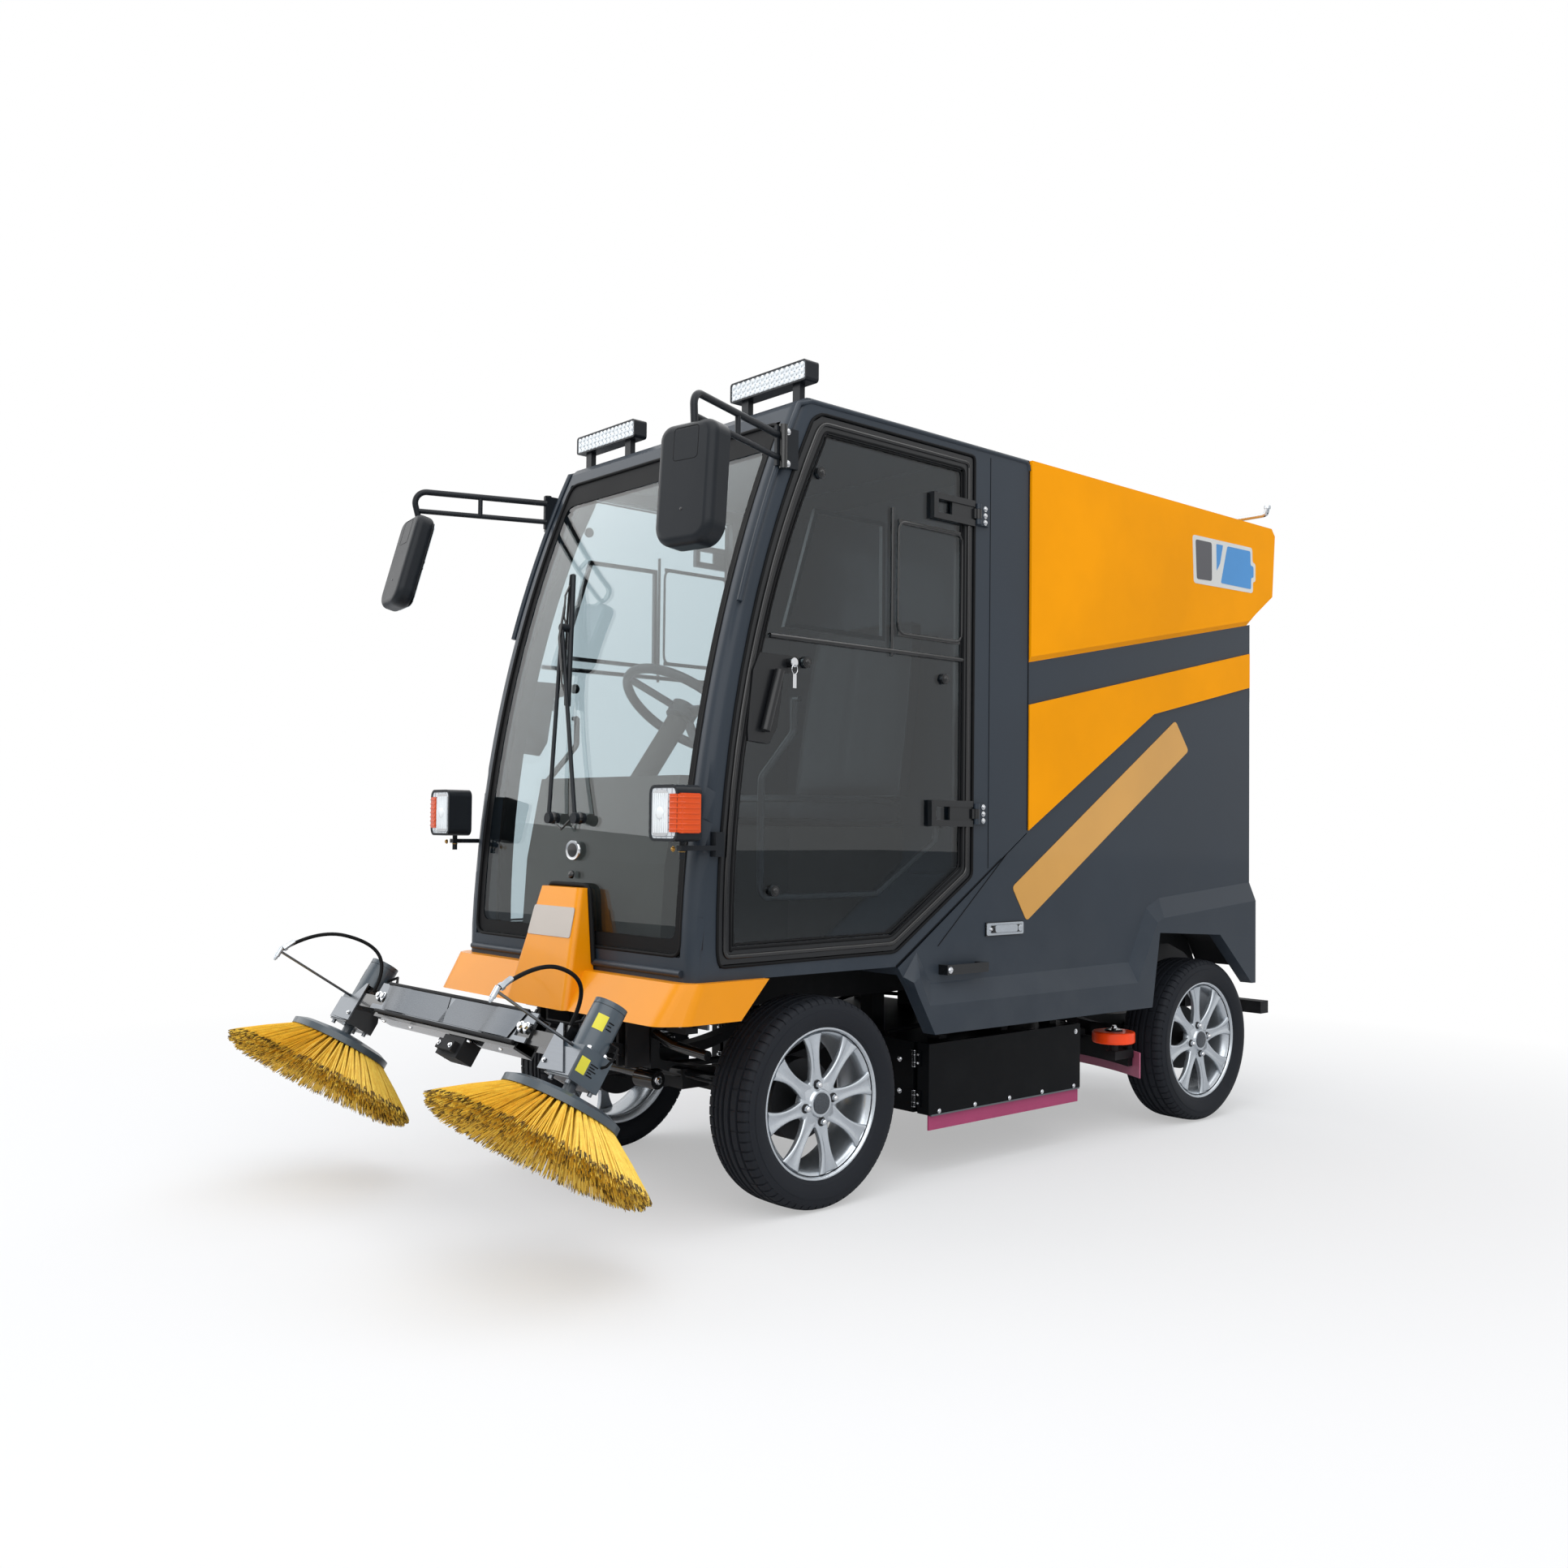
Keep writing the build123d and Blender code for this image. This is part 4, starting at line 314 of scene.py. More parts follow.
# millimetres by which the edges of the pressed and moulded pieces are rounded
edge_rounds = {
    9.0: "cab_frame", 7.0: "front_apron", 6.0: "dashboard", 4.0: "squeegee_blade",
    3.0: "hopper_top rear_door", 2.5: "brush_motors body_shell lamp_housings door_left door_right",
    2.0: "side_bands", 1.5: "scrub_deck", 1.2: "lift_frame", 0.8: "lift_plates"}
for width, nodes in edge_rounds.items():
    for node in nodes.split():
        round_edges(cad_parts[node], width, 3, 38).harden_normals = True

# ---------------- mesh making
# Places are (x, station, height) in millimetres; a station counts from the front axle towards the rear.
OUT, AHEAD, UP, DOWN = Vector((1, 0, 0)), Vector((0, -1, 0)), Vector((0, 0, 1)), Vector((0, 0, -1))
side_names = {1: "left", -1: "right"}
lift_pivot = (-366.0, 400.0)           # station and height
lift_raise = radians(32.3)


def raised(place):
    """A place on the lowered brush lift, measured from its pivot, as it stands raised."""
    x, y, z = place
    return (x, lift_pivot[0] + y * cos(lift_raise) + z * sin(lift_raise),
            lift_pivot[1] - y * sin(lift_raise) + z * cos(lift_raise))


def in_frame(place):
    """A place in millimetres and stations, in the frame's metres."""
    x, y, z = place
    return Vector((x / 1000, axle_y + y / 1000, z / 1000))


def turns(count):
    return [tau * i / count for i in range(count)]


def between(first, last, count):
    """Numbers in even steps, with both ends."""
    return [first + (last - first) * i / count for i in range(count + 1)]


def square_to(along):
    guide = UP if abs(along.z) < 0.9 else Vector((0, 1, 0))
    return along.cross(guide).normalized()


def circle(centre, along, radius, sides):
    """Points round a centre, in the plane across a direction."""
    along = Vector(along).normalized()
    across = square_to(along)
    up = across.cross(along)
    return [Vector(centre) + across * radius * cos(turn) + up * radius * sin(turn) for turn in turns(sides)]


def arc(start, middle, end, count):
    """Points on the circle through three points of a plane."""
    (ax, ay), (bx, by), (cx, cy) = start, middle, end
    a, b, c = ax**2 + ay**2, bx**2 + by**2, cx**2 + cy**2
    d = 2 * (ax * (by - cy) + bx * (cy - ay) + cx * (ay - by))
    ux = (a * (by - cy) + b * (cy - ay) + c * (ay - by)) / d
    uy = (a * (cx - bx) + b * (ax - cx) + c * (bx - ax)) / d
    radius = hypot(ax - ux, ay - uy)
    first, last = (atan2(y - uy, x - ux) for x, y in (start, end))
    if last - first > pi:
        last -= tau
    if first - last > pi:
        last += tau
    return [(ux + radius * cos(turn), uy + radius * sin(turn)) for turn in between(first, last, count)]


def rectangle(x, y):
    return [(x[0], y[0]), (x[1], y[0]), (x[1], y[1]), (x[0], y[1])]


def rounded(corners, radius, count=4):
    """A closed outline of a plane with its corners rounded."""
    points = []
    for i, corner in enumerate(corners):
        here = Vector(corner)
        back = Vector(corners[i - 1]) - here
        on = Vector(corners[(i + 1) % len(corners)]) - here
        reach = min(radius, back.length * 0.48, on.length * 0.48)
        first, last = here + back.normalized() * reach, here + on.normalized() * reach
        for share in between(0, 1, count):
            rest = 1 - share
            points.append(tuple(first * rest ** 2 + here * 2 * share * rest + last * share ** 2))
    return points


class Piece:
    """Faces of one finish or more, gathered in millimetres and made into one object."""

    def __init__(self, name, body, *finish_names, place=tuple, side=1, smooth=40, slot=None):
        self.name = name
        self.body = body
        self.finish_names = finish_names
        self.place = place
        self.side = side       # -1 turns x over to the right
        self.smooth = smooth
        self.slot = slot
        self.mesh = bmesh.new()
        self.now = 0           # which of the finishes the next faces take

    def vertex(self, point):
        x, y, z = self.place(point)
        return self.mesh.verts.new((self.side * x, y, z))

    def skin(self, rings, around=True, capped=True):
        """Faces between rows of points that follow each other."""
        rows = [[self.vertex(point) for point in ring] for ring in rings]
        for one, two in zip(rows, rows[1:]):
            count = len(one)
            for i in range(count if around else count - 1):
                j = (i + 1) % count
                self.face((one[i], one[j], two[j], two[i]))
        if capped and around:
            self.face(rows[0][::-1])
            self.face(rows[-1])

    def face(self, corners):
        self.mesh.faces.new(corners).material_index = self.now

    def box(self, x, y, z):
        self.skin([[(*corner, height) for corner in rectangle(x, y)] for height in sorted(z)])

    def slab(self, outline, x):
        """A plate with a side outline of (station, height), between two x."""
        self.skin([[(across, *point) for point in outline] for across in x])

    def rod(self, points, radius, sides=8, closed=False):
        """A round bar along points; radius may be one number or one for each point."""
        points = [Vector(point) for point in points]
        radii = radius if isinstance(radius, list) else [radius] * len(points)
        last = len(points) - 1
        rings = []
        across = None
        for i, point in enumerate(points):
            before = points[i - 1] if closed or i else point
            after = points[i + 1 if i < last else 0 if closed else i]
            along = (after - before).normalized()
            across = square_to(along) if across is None else across
            across = (across - along * across.dot(along)).normalized()
            up = across.cross(along)
            rings.append([point + (across * cos(turn) + up * sin(turn)) * radii[i] for turn in turns(sides)])
        self.skin(rings + rings[:1] if closed else rings, capped=not closed)

    def line(self, x, points, radius, sides=8, closed=False):
        """A round bar along (station, height) points, all at one x."""
        self.rod([(x, *point) for point in points], radius, sides, closed)

    def turned(self, centre, along, profile, sides=32):
        """A turned piece: profile rows are (distance along, radius)."""
        way = Vector(along).normalized()
        centre = Vector(centre)
        self.skin([circle(centre + way * distance, way, max(radius, 0.05), sides)
                   for distance, radius in profile])

    def bolt(self, centre, along, radius, height):
        """Washer, six-sided head and a small domed end."""
        self.turned(centre, along, [(0, radius * 1.35), (1.4, radius * 1.35), (1.5, radius)], 16)
        self.turned(centre, along, [(1.4, radius), (1.4 + height * 0.8, radius),
                                    (1.4 + height, radius * 0.8)], 6)

    def dome(self, centre, along, radius, height, sides=20):
        self.turned(centre, along, [(-1.0, radius), (height * 0.3, radius), (height * 0.75, radius * 0.8),
                                    (height * 0.95, radius * 0.45), (height, 0.1)], sides)

    def mirror(self):
        """Copy every face so far to the vehicle's other side."""
        copy = bmesh.ops.duplicate(self.mesh, geom=[*self.mesh.verts, *self.mesh.edges, *self.mesh.faces])
        moved = [part for part in copy["geom"] if isinstance(part, bmesh.types.BMVert)]
        bmesh.ops.scale(self.mesh, vec=(-1, 1, 1), verts=moved)

    def done(self, *stands_for, bevel=0.0):
        """The object, on its body and in place of the fixed solids named."""
        bmesh.ops.recalc_face_normals(self.mesh, faces=self.mesh.faces)
        for vertex in self.mesh.verts:
            vertex.co = in_frame(vertex.co)
        data = bpy.data.meshes.new(self.name)
        self.mesh.to_mesh(data)
        self.mesh.free()
        for finish_name in self.finish_names:
            data.materials.append(finishes[finish_name].material)
        thing = bpy.data.objects.new(self.name, data)
        bpy.context.scene.collection.objects.link(thing)
        data.shade_smooth()
        data.set_sharp_from_angle(angle=radians(self.smooth))
        if bevel:
            round_edges(thing, bevel, 2, 35)
        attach(thing, self.body)
        for node in stands_for:
            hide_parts(node)
        return thing


# ---------------- wheels
wheel_x, wheel_height = 455.5, 277.0
axle_stations = {"front": 0.0, "rear": 1807.0}


def on_wheel(axle):
    """Turns (outward, radius, angle) on a wheel into a place."""
    def place(point):
        outward, radius, angle = point
        return (wheel_x + outward, axle_stations[axle] + radius * sin(angle),
                wheel_height + radius * cos(angle))
    return place


def tyre(axle, side, name):
    """Tyre with three round grooves, shoulder blocks cut by sipes, and a ribbed side wall."""
    wall = [(60, 187), (66, 194), (71, 205), (73.5, 207), (76, 213), (80.5, 226), (82.4, 240), (82.2, 243.5),
            (81, 244), (80.6, 250), (77, 260), (74.5, 261.5), (71, 267.5)]
    tread = [(67, 271.5), (58, 274.5), (49, 275.8), (47.5, 270), (42, 270), (40.5, 276.2), (22, 276.9),
             (20.5, 269.5), (12.5, 269.5), (11, 277), (-3, 277), (-4.5, 269.5), (-12.5, 269.5), (-14, 276.9),
             (-22, 276.9), (-24, 271), (-31, 271), (-32.5, 276.4)]
    profile = wall + tread + [(-outward, radius) for outward, radius in reversed(wall + tread[:6])]
    blocks = 66
    piece = Piece(f"tread_{name}", f"{name}_wheel", "rubber", place=on_wheel(axle), side=side, smooth=28,
                  slot="tyre")
    rings = []
    for block in range(blocks):
        for share, cut in ((0.0, 0.0), (0.80, 0.0), (0.83, 1.0), (0.97, 1.0)):
            ring = []
            for outward, radius in profile:
                shoulder = 49 <= abs(outward) <= 75 and radius > 258
                small = 22 <= abs(outward) < 42 and radius > 274
                skew = 0.105 * outward / 80 if shoulder or small else 0.0
                depth = 3.6 if shoulder else 2.0 if small and block % 2 else 0.0
                ring.append((outward, radius - cut * depth, tau * (block + share + skew) / blocks))
            rings.append(ring)
    piece.skin(rings + rings[:1], around=False, capped=False)
    bmesh.ops.remove_doubles(piece.mesh, verts=piece.mesh.verts, dist=0.05)
    piece.done(f"tyre_{name}")


def spoke_section(share):
    """Half width, face and outline across a spoke, from the hub (0) to the lip (1)."""
    if share < 0.45:
        half = 25 - 9.5 * sin(share / 0.45 * pi / 2)
    else:
        half = 15.5 + 18 * ((share - 0.45) / 0.55) ** 2.2
    dip = 4.2 * sin(min(1.0, share * 1.6) * pi / 2)
    ridge = [(0.42, -dip * 0.55), (0.62, 0.6), (0.80, 0.4), (0.96, -2.2), (1.0, -6.0)]
    outline = [(-across, drop) for across, drop in reversed(ridge)] + [(0, -dip)] + ridge
    back = 5 * share - 20
    return half, 54 + 9.5 * sin(share * pi / 2), outline + [(0.82, back), (-0.82, back)]


def rim(axle, side, name):
    """Cast rim: barrel and lip, eight spokes with two ridges each, hub, cap and four nuts."""
    piece = Piece(f"cast_rim_{name}", f"{name}_wheel", "alloy", "cast", "chrome", "pressed",
                  place=on_wheel(axle), side=side, smooth=50, slot="alloy")

    def lathe(profile, sides, capped=True):
        piece.skin([[(outward, radius, turn) for turn in turns(sides)] for outward, radius in profile],
                   capped=capped)

    barrel = [(60.5, 189), (64, 197.5), (68, 198), (69.5, 196), (69, 193.5), (65, 191), (60, 188.5),
              (56, 183), (50, 176), (20, 172), (-20, 171), (-52, 173), (-62, 178), (-66, 190), (-66, 197),
              (-69, 198), (-69, 189), (-62, 176.5), (50, 177.5)]
    lathe(barrel + barrel[:1], 96, capped=False)
    first_turn = radians(-10)
    hub_radius, spoke_reach, nut_circle = 46, 137, 50
    for turn in turns(8):
        rings = []
        for share in between(0, 1, 14):
            radius = hub_radius + share * spoke_reach
            half, face, outline = spoke_section(share)
            rings.append([(face + drop, radius / cos(across * half / radius * 0.9),
                           turn + first_turn + across * half / radius) for across, drop in outline])
        piece.skin(rings)
    hub = [(34, 66), (51, 66), (54.5, 62), (55, 40), (57, 37), (63, 35.5), (64.5, 33), (63.5, 30), (63, 1)]
    lathe(hub, 64)
    piece.now = 3
    lathe([(63.2, 28), (65.5, 27.5), (66.2, 24), (66.4, 0.5)], 40)
    for turn in turns(4):
        y, z = nut_circle * sin(first_turn + turn), nut_circle * cos(first_turn + turn)
        for finish, sides, rows in ((1, 24, [(54.2, 12.5), (56.4, 12.2), (56.6, 9.5)]),
                                    (2, 6, [(55.5, 8.6), (65, 8.4), (69.5, 6.4), (71.5, 3.4)])):
            piece.now = finish
            rings = []
            for outward, radius in rows:
                spots = [(y + radius * sin(around), z + radius * cos(around)) for around in turns(sides)]
                rings.append([(outward, hypot(*spot), atan2(*spot)) for spot in spots])
            piece.skin(rings)
    piece.done(f"rim_{name}")


for axle in axle_stations:
    for side, name in side_names.items():
        tyre(axle, side, f"{axle}_{name}")
        rim(axle, side, f"{axle}_{name}")


# ---------------- side brushes
# on the lowered lift
brush_x, brush_station, disc_height = 561.0, -384.0, -252.0
nozzle = (571, -671, -150)
motor_radius = 40.7
# tuft rows: root radius, root drop, tip radius, tip drop, number of tufts, strands in a tuft
tuft_rows = [(129, 20, 270, 122, 54, 22), (113, 20, 262, 136, 48, 18), (92, 18, 236, 146, 40, 18),
             (74, 16, 196, 148, 30, 14)]
# share of a strand's length, and its half thickness there
strand_taper = ((0, 2.0), (0.45, 2.0), (0.87, 1.9), (0.95, 1.7), (1.0, 1.2))


def bristle_ring(side, name):
    """Tufts of bristles with worn dark tips, tied at the disc."""
    chance = random.Random(7 + side)
    piece = Piece(f"tufts_{name}", f"{name}_brush", "bristle", "bristle_dark", "bristle_brown", "seal",
                  place=raised, smooth=60, slot="bristle")
    centre = Vector((side * brush_x, brush_station, disc_height))
    for root_r, root_drop, tip_r, tip_drop, tufts, strands in tuft_rows:
        for turn in [turn for turn in turns(tufts) for _ in range(strands)]:
            lean = chance.uniform(-1, 1)
            root_turn = turn + lean * 3.2 / root_r
            tip_turn = turn + lean * pi / tufts + chance.uniform(-0.006, 0.006)
            depth = chance.uniform(-1, 1)
            length = chance.uniform(0.97, 1.02) if chance.random() < 0.9 else chance.uniform(0.92, 0.97)
            start_r = root_r + depth * 3.0
            end_r = root_r + (tip_r - root_r) * length + depth * 5
            fall = (tip_drop - root_drop) * length - depth * 4
            rings = []
            for share, radius in strand_taper:
                r = start_r + (end_r - start_r) * share + 3.5 * sin(share * pi)
                a = root_turn + (tip_turn - root_turn) * share
                spot = centre + Vector((r * sin(a), r * cos(a), -root_drop - fall * share))
                out, around = Vector((sin(a), cos(a), 0)) * 0.5, Vector((cos(a), -sin(a), 0))
                thick = UP * 0.87
                rings.append([spot + around * radius, spot - (thick - out) * radius,
                              spot + (thick + out) * radius])
            tip = chance.choice((0, 0, 2, 2, 1))
            low = chance.choice((0, 0, 1, 1, 2) if root_r > 120 else (0, 0, 0, 0, 2))
            for finish, pair in zip((0, 0, low, tip), zip(rings, rings[1:])):
                piece.now = finish
                piece.skin(pair, capped=False)
    piece.now = 3
    piece.turned(centre + Vector((0, 0, -12)), DOWN, [(0, 60), (0.5, 132), (7, 132), (8, 60)], 64)
    piece.done(f"bristles_{name}")


def side_brush_trim(side, name):
    """Labels, cable and bolts of one brush motor, and its spray hose's ends."""
    labels = Piece(f"motor_labels_{name}", "brush_lift", "label", "seal", place=raised, side=side, smooth=30)
    outer_face = (605, 605.9)
    labels.box(outer_face, (-422, -396), (-192, -156))
    labels.now = 1
    for row, length in enumerate((22, 15, 22, 12, 18)):
        labels.box(outer_face, (-391, -391 + length), (-164 - row * 6.4, -161.4 - row * 6.4))
    # curved label and three bars on the motor's round case
    for finish, first, last, heights in ((0, 30, 68, (-88, -52)), (1, 74, 96, (-64, -61)),
                                         (1, 74, 90, (-72, -69)), (1, 74, 96, (-80, -77))):
        labels.now = finish
        labels.skin([[(brush_x + motor_radius * sin(turn), brush_station - motor_radius * cos(turn), z)
                      for turn in between(radians(first), radians(last), 8)] for z in heights],
                    around=False, capped=False)
    labels.done()

    bolts = Piece(f"brush_bolts_{name}", "brush_lift", "chrome", "alloy", place=raised, side=side, smooth=35)
    for corner in rectangle((brush_x - 34, brush_x + 34), (brush_station - 24, brush_station + 24)):
        bolts.bolt((*corner, -134), UP, 5.5, 6)
    for x in (351, 376):
        bolts.bolt((x, -443, -126), AHEAD, 8.5, 6)
    bolts.bolt((500, -438, -190), AHEAD, 4, 3)
    # silver sleeve over the hose's end, its nut and the nozzle
    bolts.now = 1
    bolts.turned((570.9, -666.0, -124.0), (-0.05, 0.45, 0.89),
                 [(0, 9.2), (9, 9.2), (10, 7.2), (34, 7.2), (36, 5.6)], 6)
    bolts.turned(nozzle, DOWN, [(0, 5), (6, 5), (12, 2.5)], 12)
    bolts.done()

    leads = Piece(f"motor_leads_{name}", "brush_lift", "seal", place=raised, side=side, smooth=60)
    leads.rod([(592, -360, -100), (615, -352, -104), (626, -356, -128), (618, -360, -152),
               (606, -362, -158)], 3.2)
    leads.rod([(520, -372, -60), (500, -360, -40), (470, -368, -60), (440, -384, -80), (360, -392, -84)], 4.0)
    leads.done()


# a spray hose's route on the lowered lift, from the beam over an arch to the nozzle
hose_route = [(487, -409, -110), (491, -409, -40), (521, -471, 10), (565, -611, -30), (571, -667, -126)]
hose_diameter = 0.010


def spray_line(side, name):
    """A stiff hose that arches free from the beam to the nozzle, and the rod that holds the nozzle."""
    route = [in_frame(raised((side * x, station, height))) for x, station, height in hose_route]
    line = bpy.data.curves.new(f"spray_hose_{name}", "CURVE")
    line.dimensions = "3D"
    line.resolution_u = 16
    spline = line.splines.new("NURBS")
    spline.points.add(len(route) - 1)
    for point, place in zip(spline.points, route):
        point.co = (*place, 1.0)
    spline.order_u = 3
    spline.use_endpoint_u = True
    hose = bpy.data.objects.new(f"spray_hose_{name}", line)
    bpy.context.scene.collection.objects.link(hose)
    thread = bpy.data.meshes.new_from_object(hose)
    line.bevel_depth = hose_diameter / 2
    line.bevel_resolution = 4
    line.use_fill_caps = True
    line.materials.append(finishes["seal"].material)
    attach(hose, "brush_lift")
    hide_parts("spray_lines")

    rod = Piece(f"spray_rod_{name}", "brush_lift", "steel", "alloy", place=raised, side=side, smooth=50)
    rod.rod([(brush_x, -428.2, -140), (571, -671, -134)], 3.5, 12)
    rod.now = 1
    rod.turned(nozzle, UP, [(0, 7), (26, 7)], 20)
    rod.done("spray_lines")


for side, name in side_names.items():
    bristle_ring(side, name)
    side_brush_trim(side, name)
    spray_line(side, name)


def lift_trim():
    """Bright creased face on the beam, its lips and the bracket under its middle."""
    face = Piece("beam_face", "brush_lift", "pressed", place=raised, smooth=20, slot="steel")
    # x and station of the facets pressed into the sheet; its ends lean outwards
    columns = [(0, 0), (198, 0), (214, -3.0), (306, -3.0), (322, 0), (334, 0)]
    face.skin([[(x + (z + 127) * 7 / 17, bump - 443.5, z) for x, bump in columns] for z in (-93, -161)],
              around=False, capped=False)
    face.mirror()
    face.done()
    lips = Piece("beam_lips", "brush_lift", "chassis", "chrome", place=raised, smooth=40)
    for z in (-88, -168):
        lips.rod([(-352, -442, z), (352, -442, z)], 5.0)
    lips.box((40, 140), (-436, -384), (-236, -184))
    lips.box((52, 128), (-452, -436), (-226, -200))
    lips.rod([(60, -400, -210), (-40, -360, -220), (-140, -330, -190)], 6)
    lips.now = 1
    for x in (62, 118):
        lips.bolt((x, -452, -213), AHEAD, 5, 4)
    for x in (-300, -150, 150, 300):
        lips.bolt((x, -430, -186), DOWN, 5, 4)
    lips.done(bevel=1.0)


lift_trim()

# ---------------- cab
nose_low, nose_mid, nose_high = (-452.0, 620.0), (-373.0, 1340.0), (-128.0, 2090.0)


def nose_station(height, setback=0.0):
    """Station of the cab's curved front at a height."""
    points = arc(nose_low, nose_mid, nose_high, 60)
    for (s0, z0), (s1, z1) in zip(points, points[1:]):
        if z0 <= height <= z1:
            return s0 + (s1 - s0) * (height - z0) / (z1 - z0) + setback
    return (points[0] if height < points[0][1] else points[-1])[0] + setback


def on_nose(points, setback):
    """(x, height) points laid on the cab's curved front."""
    return [(x, nose_station(z, setback), z) for x, z in points]


def border_outline(x, z, radius):
    """A rounded rectangle with points along its straight sides too."""
    corners = rounded(rectangle(x, z), radius, 6)
    outline = []
    for start in (0, 7, 14, 21):
        (x0, z0), (x1, z1) = corners[start + 6], corners[(start + 7) % 28]
        outline += corners[start:start + 6]
        outline += list(zip(between(x0, x1, 24), between(z0, z1, 24)))[:-1]
    return outline


def windscreen_trim():
    """Black printed border and header on the glass, its seal, badge and washer jet."""
    border = Piece("screen_border", "chassis", "seal", "chrome", "gloss_black", smooth=50)
    half, low, high = 484, 686, 2046            # of the glass
    outer = border_outline((-half, half), (low, high), 34)
    inner = border_outline((24 - half, half - 24), (low + 34, high - 70), 30)
    border.skin([on_nose(outer, 4.6), on_nose(inner, 4.6)], capped=False)
    seal = border_outline((-half - 4, half + 4), (low - 6, high + 4), 36)
    border.rod(on_nose(seal, 2.5), 5.0, closed=True)
    badge, jet = (Vector((0, nose_station(height, -2), height)) for height in (929, 864))
    out = Vector((0, -1, 0.13)).normalized()
    for finish, rows in ((1, [(0, 1.0), (4, 1.0), (6, 0.95), (5.4, 0.86)]),
                         (2, [(3, 0.87), (5.0, 0.85), (6.2, 0.4), (6.4, 0.01)])):
        border.now = finish
        border.skin([[badge + out * proud + Vector((33 * share * cos(turn), 0, 27 * share * sin(turn)))
                      for turn in turns(48)] for proud, share in rows])
    border.dome(jet, out, 11, 9)
    border.done()


def door_outline(inset):
    """Outline of the door from (station, height) corners, drawn in by an inset."""
    points = arc((-369 + inset, 690), (-303 + inset, 1380), (-72 + inset * 0.9, 2056 - inset), 14)
    points += [(-42 + inset * 0.4, 2076 - inset), (562 - inset, 2076 - inset),
               (562 - inset, 866 + inset * 0.45), (250 - inset * 0.35, 666 + inset),
               (-361 + inset, 660 + inset)]
    return rounded(points, 16, 3)


def door_trim(side, name):
    """Rubber lines round the door and its pane, glass fittings, lock and hinge bolts."""
    seal = Piece(f"door_opening_seal_{name}", "chassis", "seal", side=side, smooth=60)
    seal.line(538.6, door_outline(-6), 4.2, closed=True)
    seal.done()

    lines = Piece(f"door_lines_{name}", f"{name}_door", "seal", "gloss_black", "chrome", side=side, smooth=60)
    lines.line(536.8, door_outline(37), 3.6, closed=True)
    lines.line(534.0, door_outline(47), 3.2, closed=True)
    lines.now = 1
    lines.line(537.2, door_outline(18), 6.0, 10, closed=True)
    # dark bands between the panes
    for z in ((1528, 1540), (1840, 1852)):
        lines.box((533.2, 535.5), (255, 520), z)
    lines.line(534, rounded(rectangle((255, 520), (1534, 1846)), 30), 4, closed=True)
    lines.line(533.5, [(232, 1470), (232, 1880)], 5)
    lines.line(533.5, [(-212, 1484), (524, 1484)], 7)
    # fixings of the guard tube
    for place in ((-45, 1927), (-89, 1425), (445, 1423), (-191, 837)):
        lines.turned((541.5, *place), OUT, [(0, 11.5), (1.6, 11.5), (2.0, 9.8), (1.6, 8)], 24)
        lines.dome((541.8, *place), OUT, 8, 5)
    # lock barrel, key ring and key
    lines.now = 2
    lines.turned((558.5, -150, 1418), OUT, [(0, 12), (2, 12), (3, 10), (2.4, 3)], 24)
    lines.rod(circle((563, -152, 1400), (1, side * 0.2, 0), 12, 20), 1.1, 6, closed=True)
    lines.box((561.5, 563.5), (-158, -146), (1352, 1388))
    for hinge in (1042, 1912):
        for rise in (-19.8, 0, 19.8):
            lines.bolt((546.0, 607, hinge + rise), OUT, 6, 4)
    lines.done()


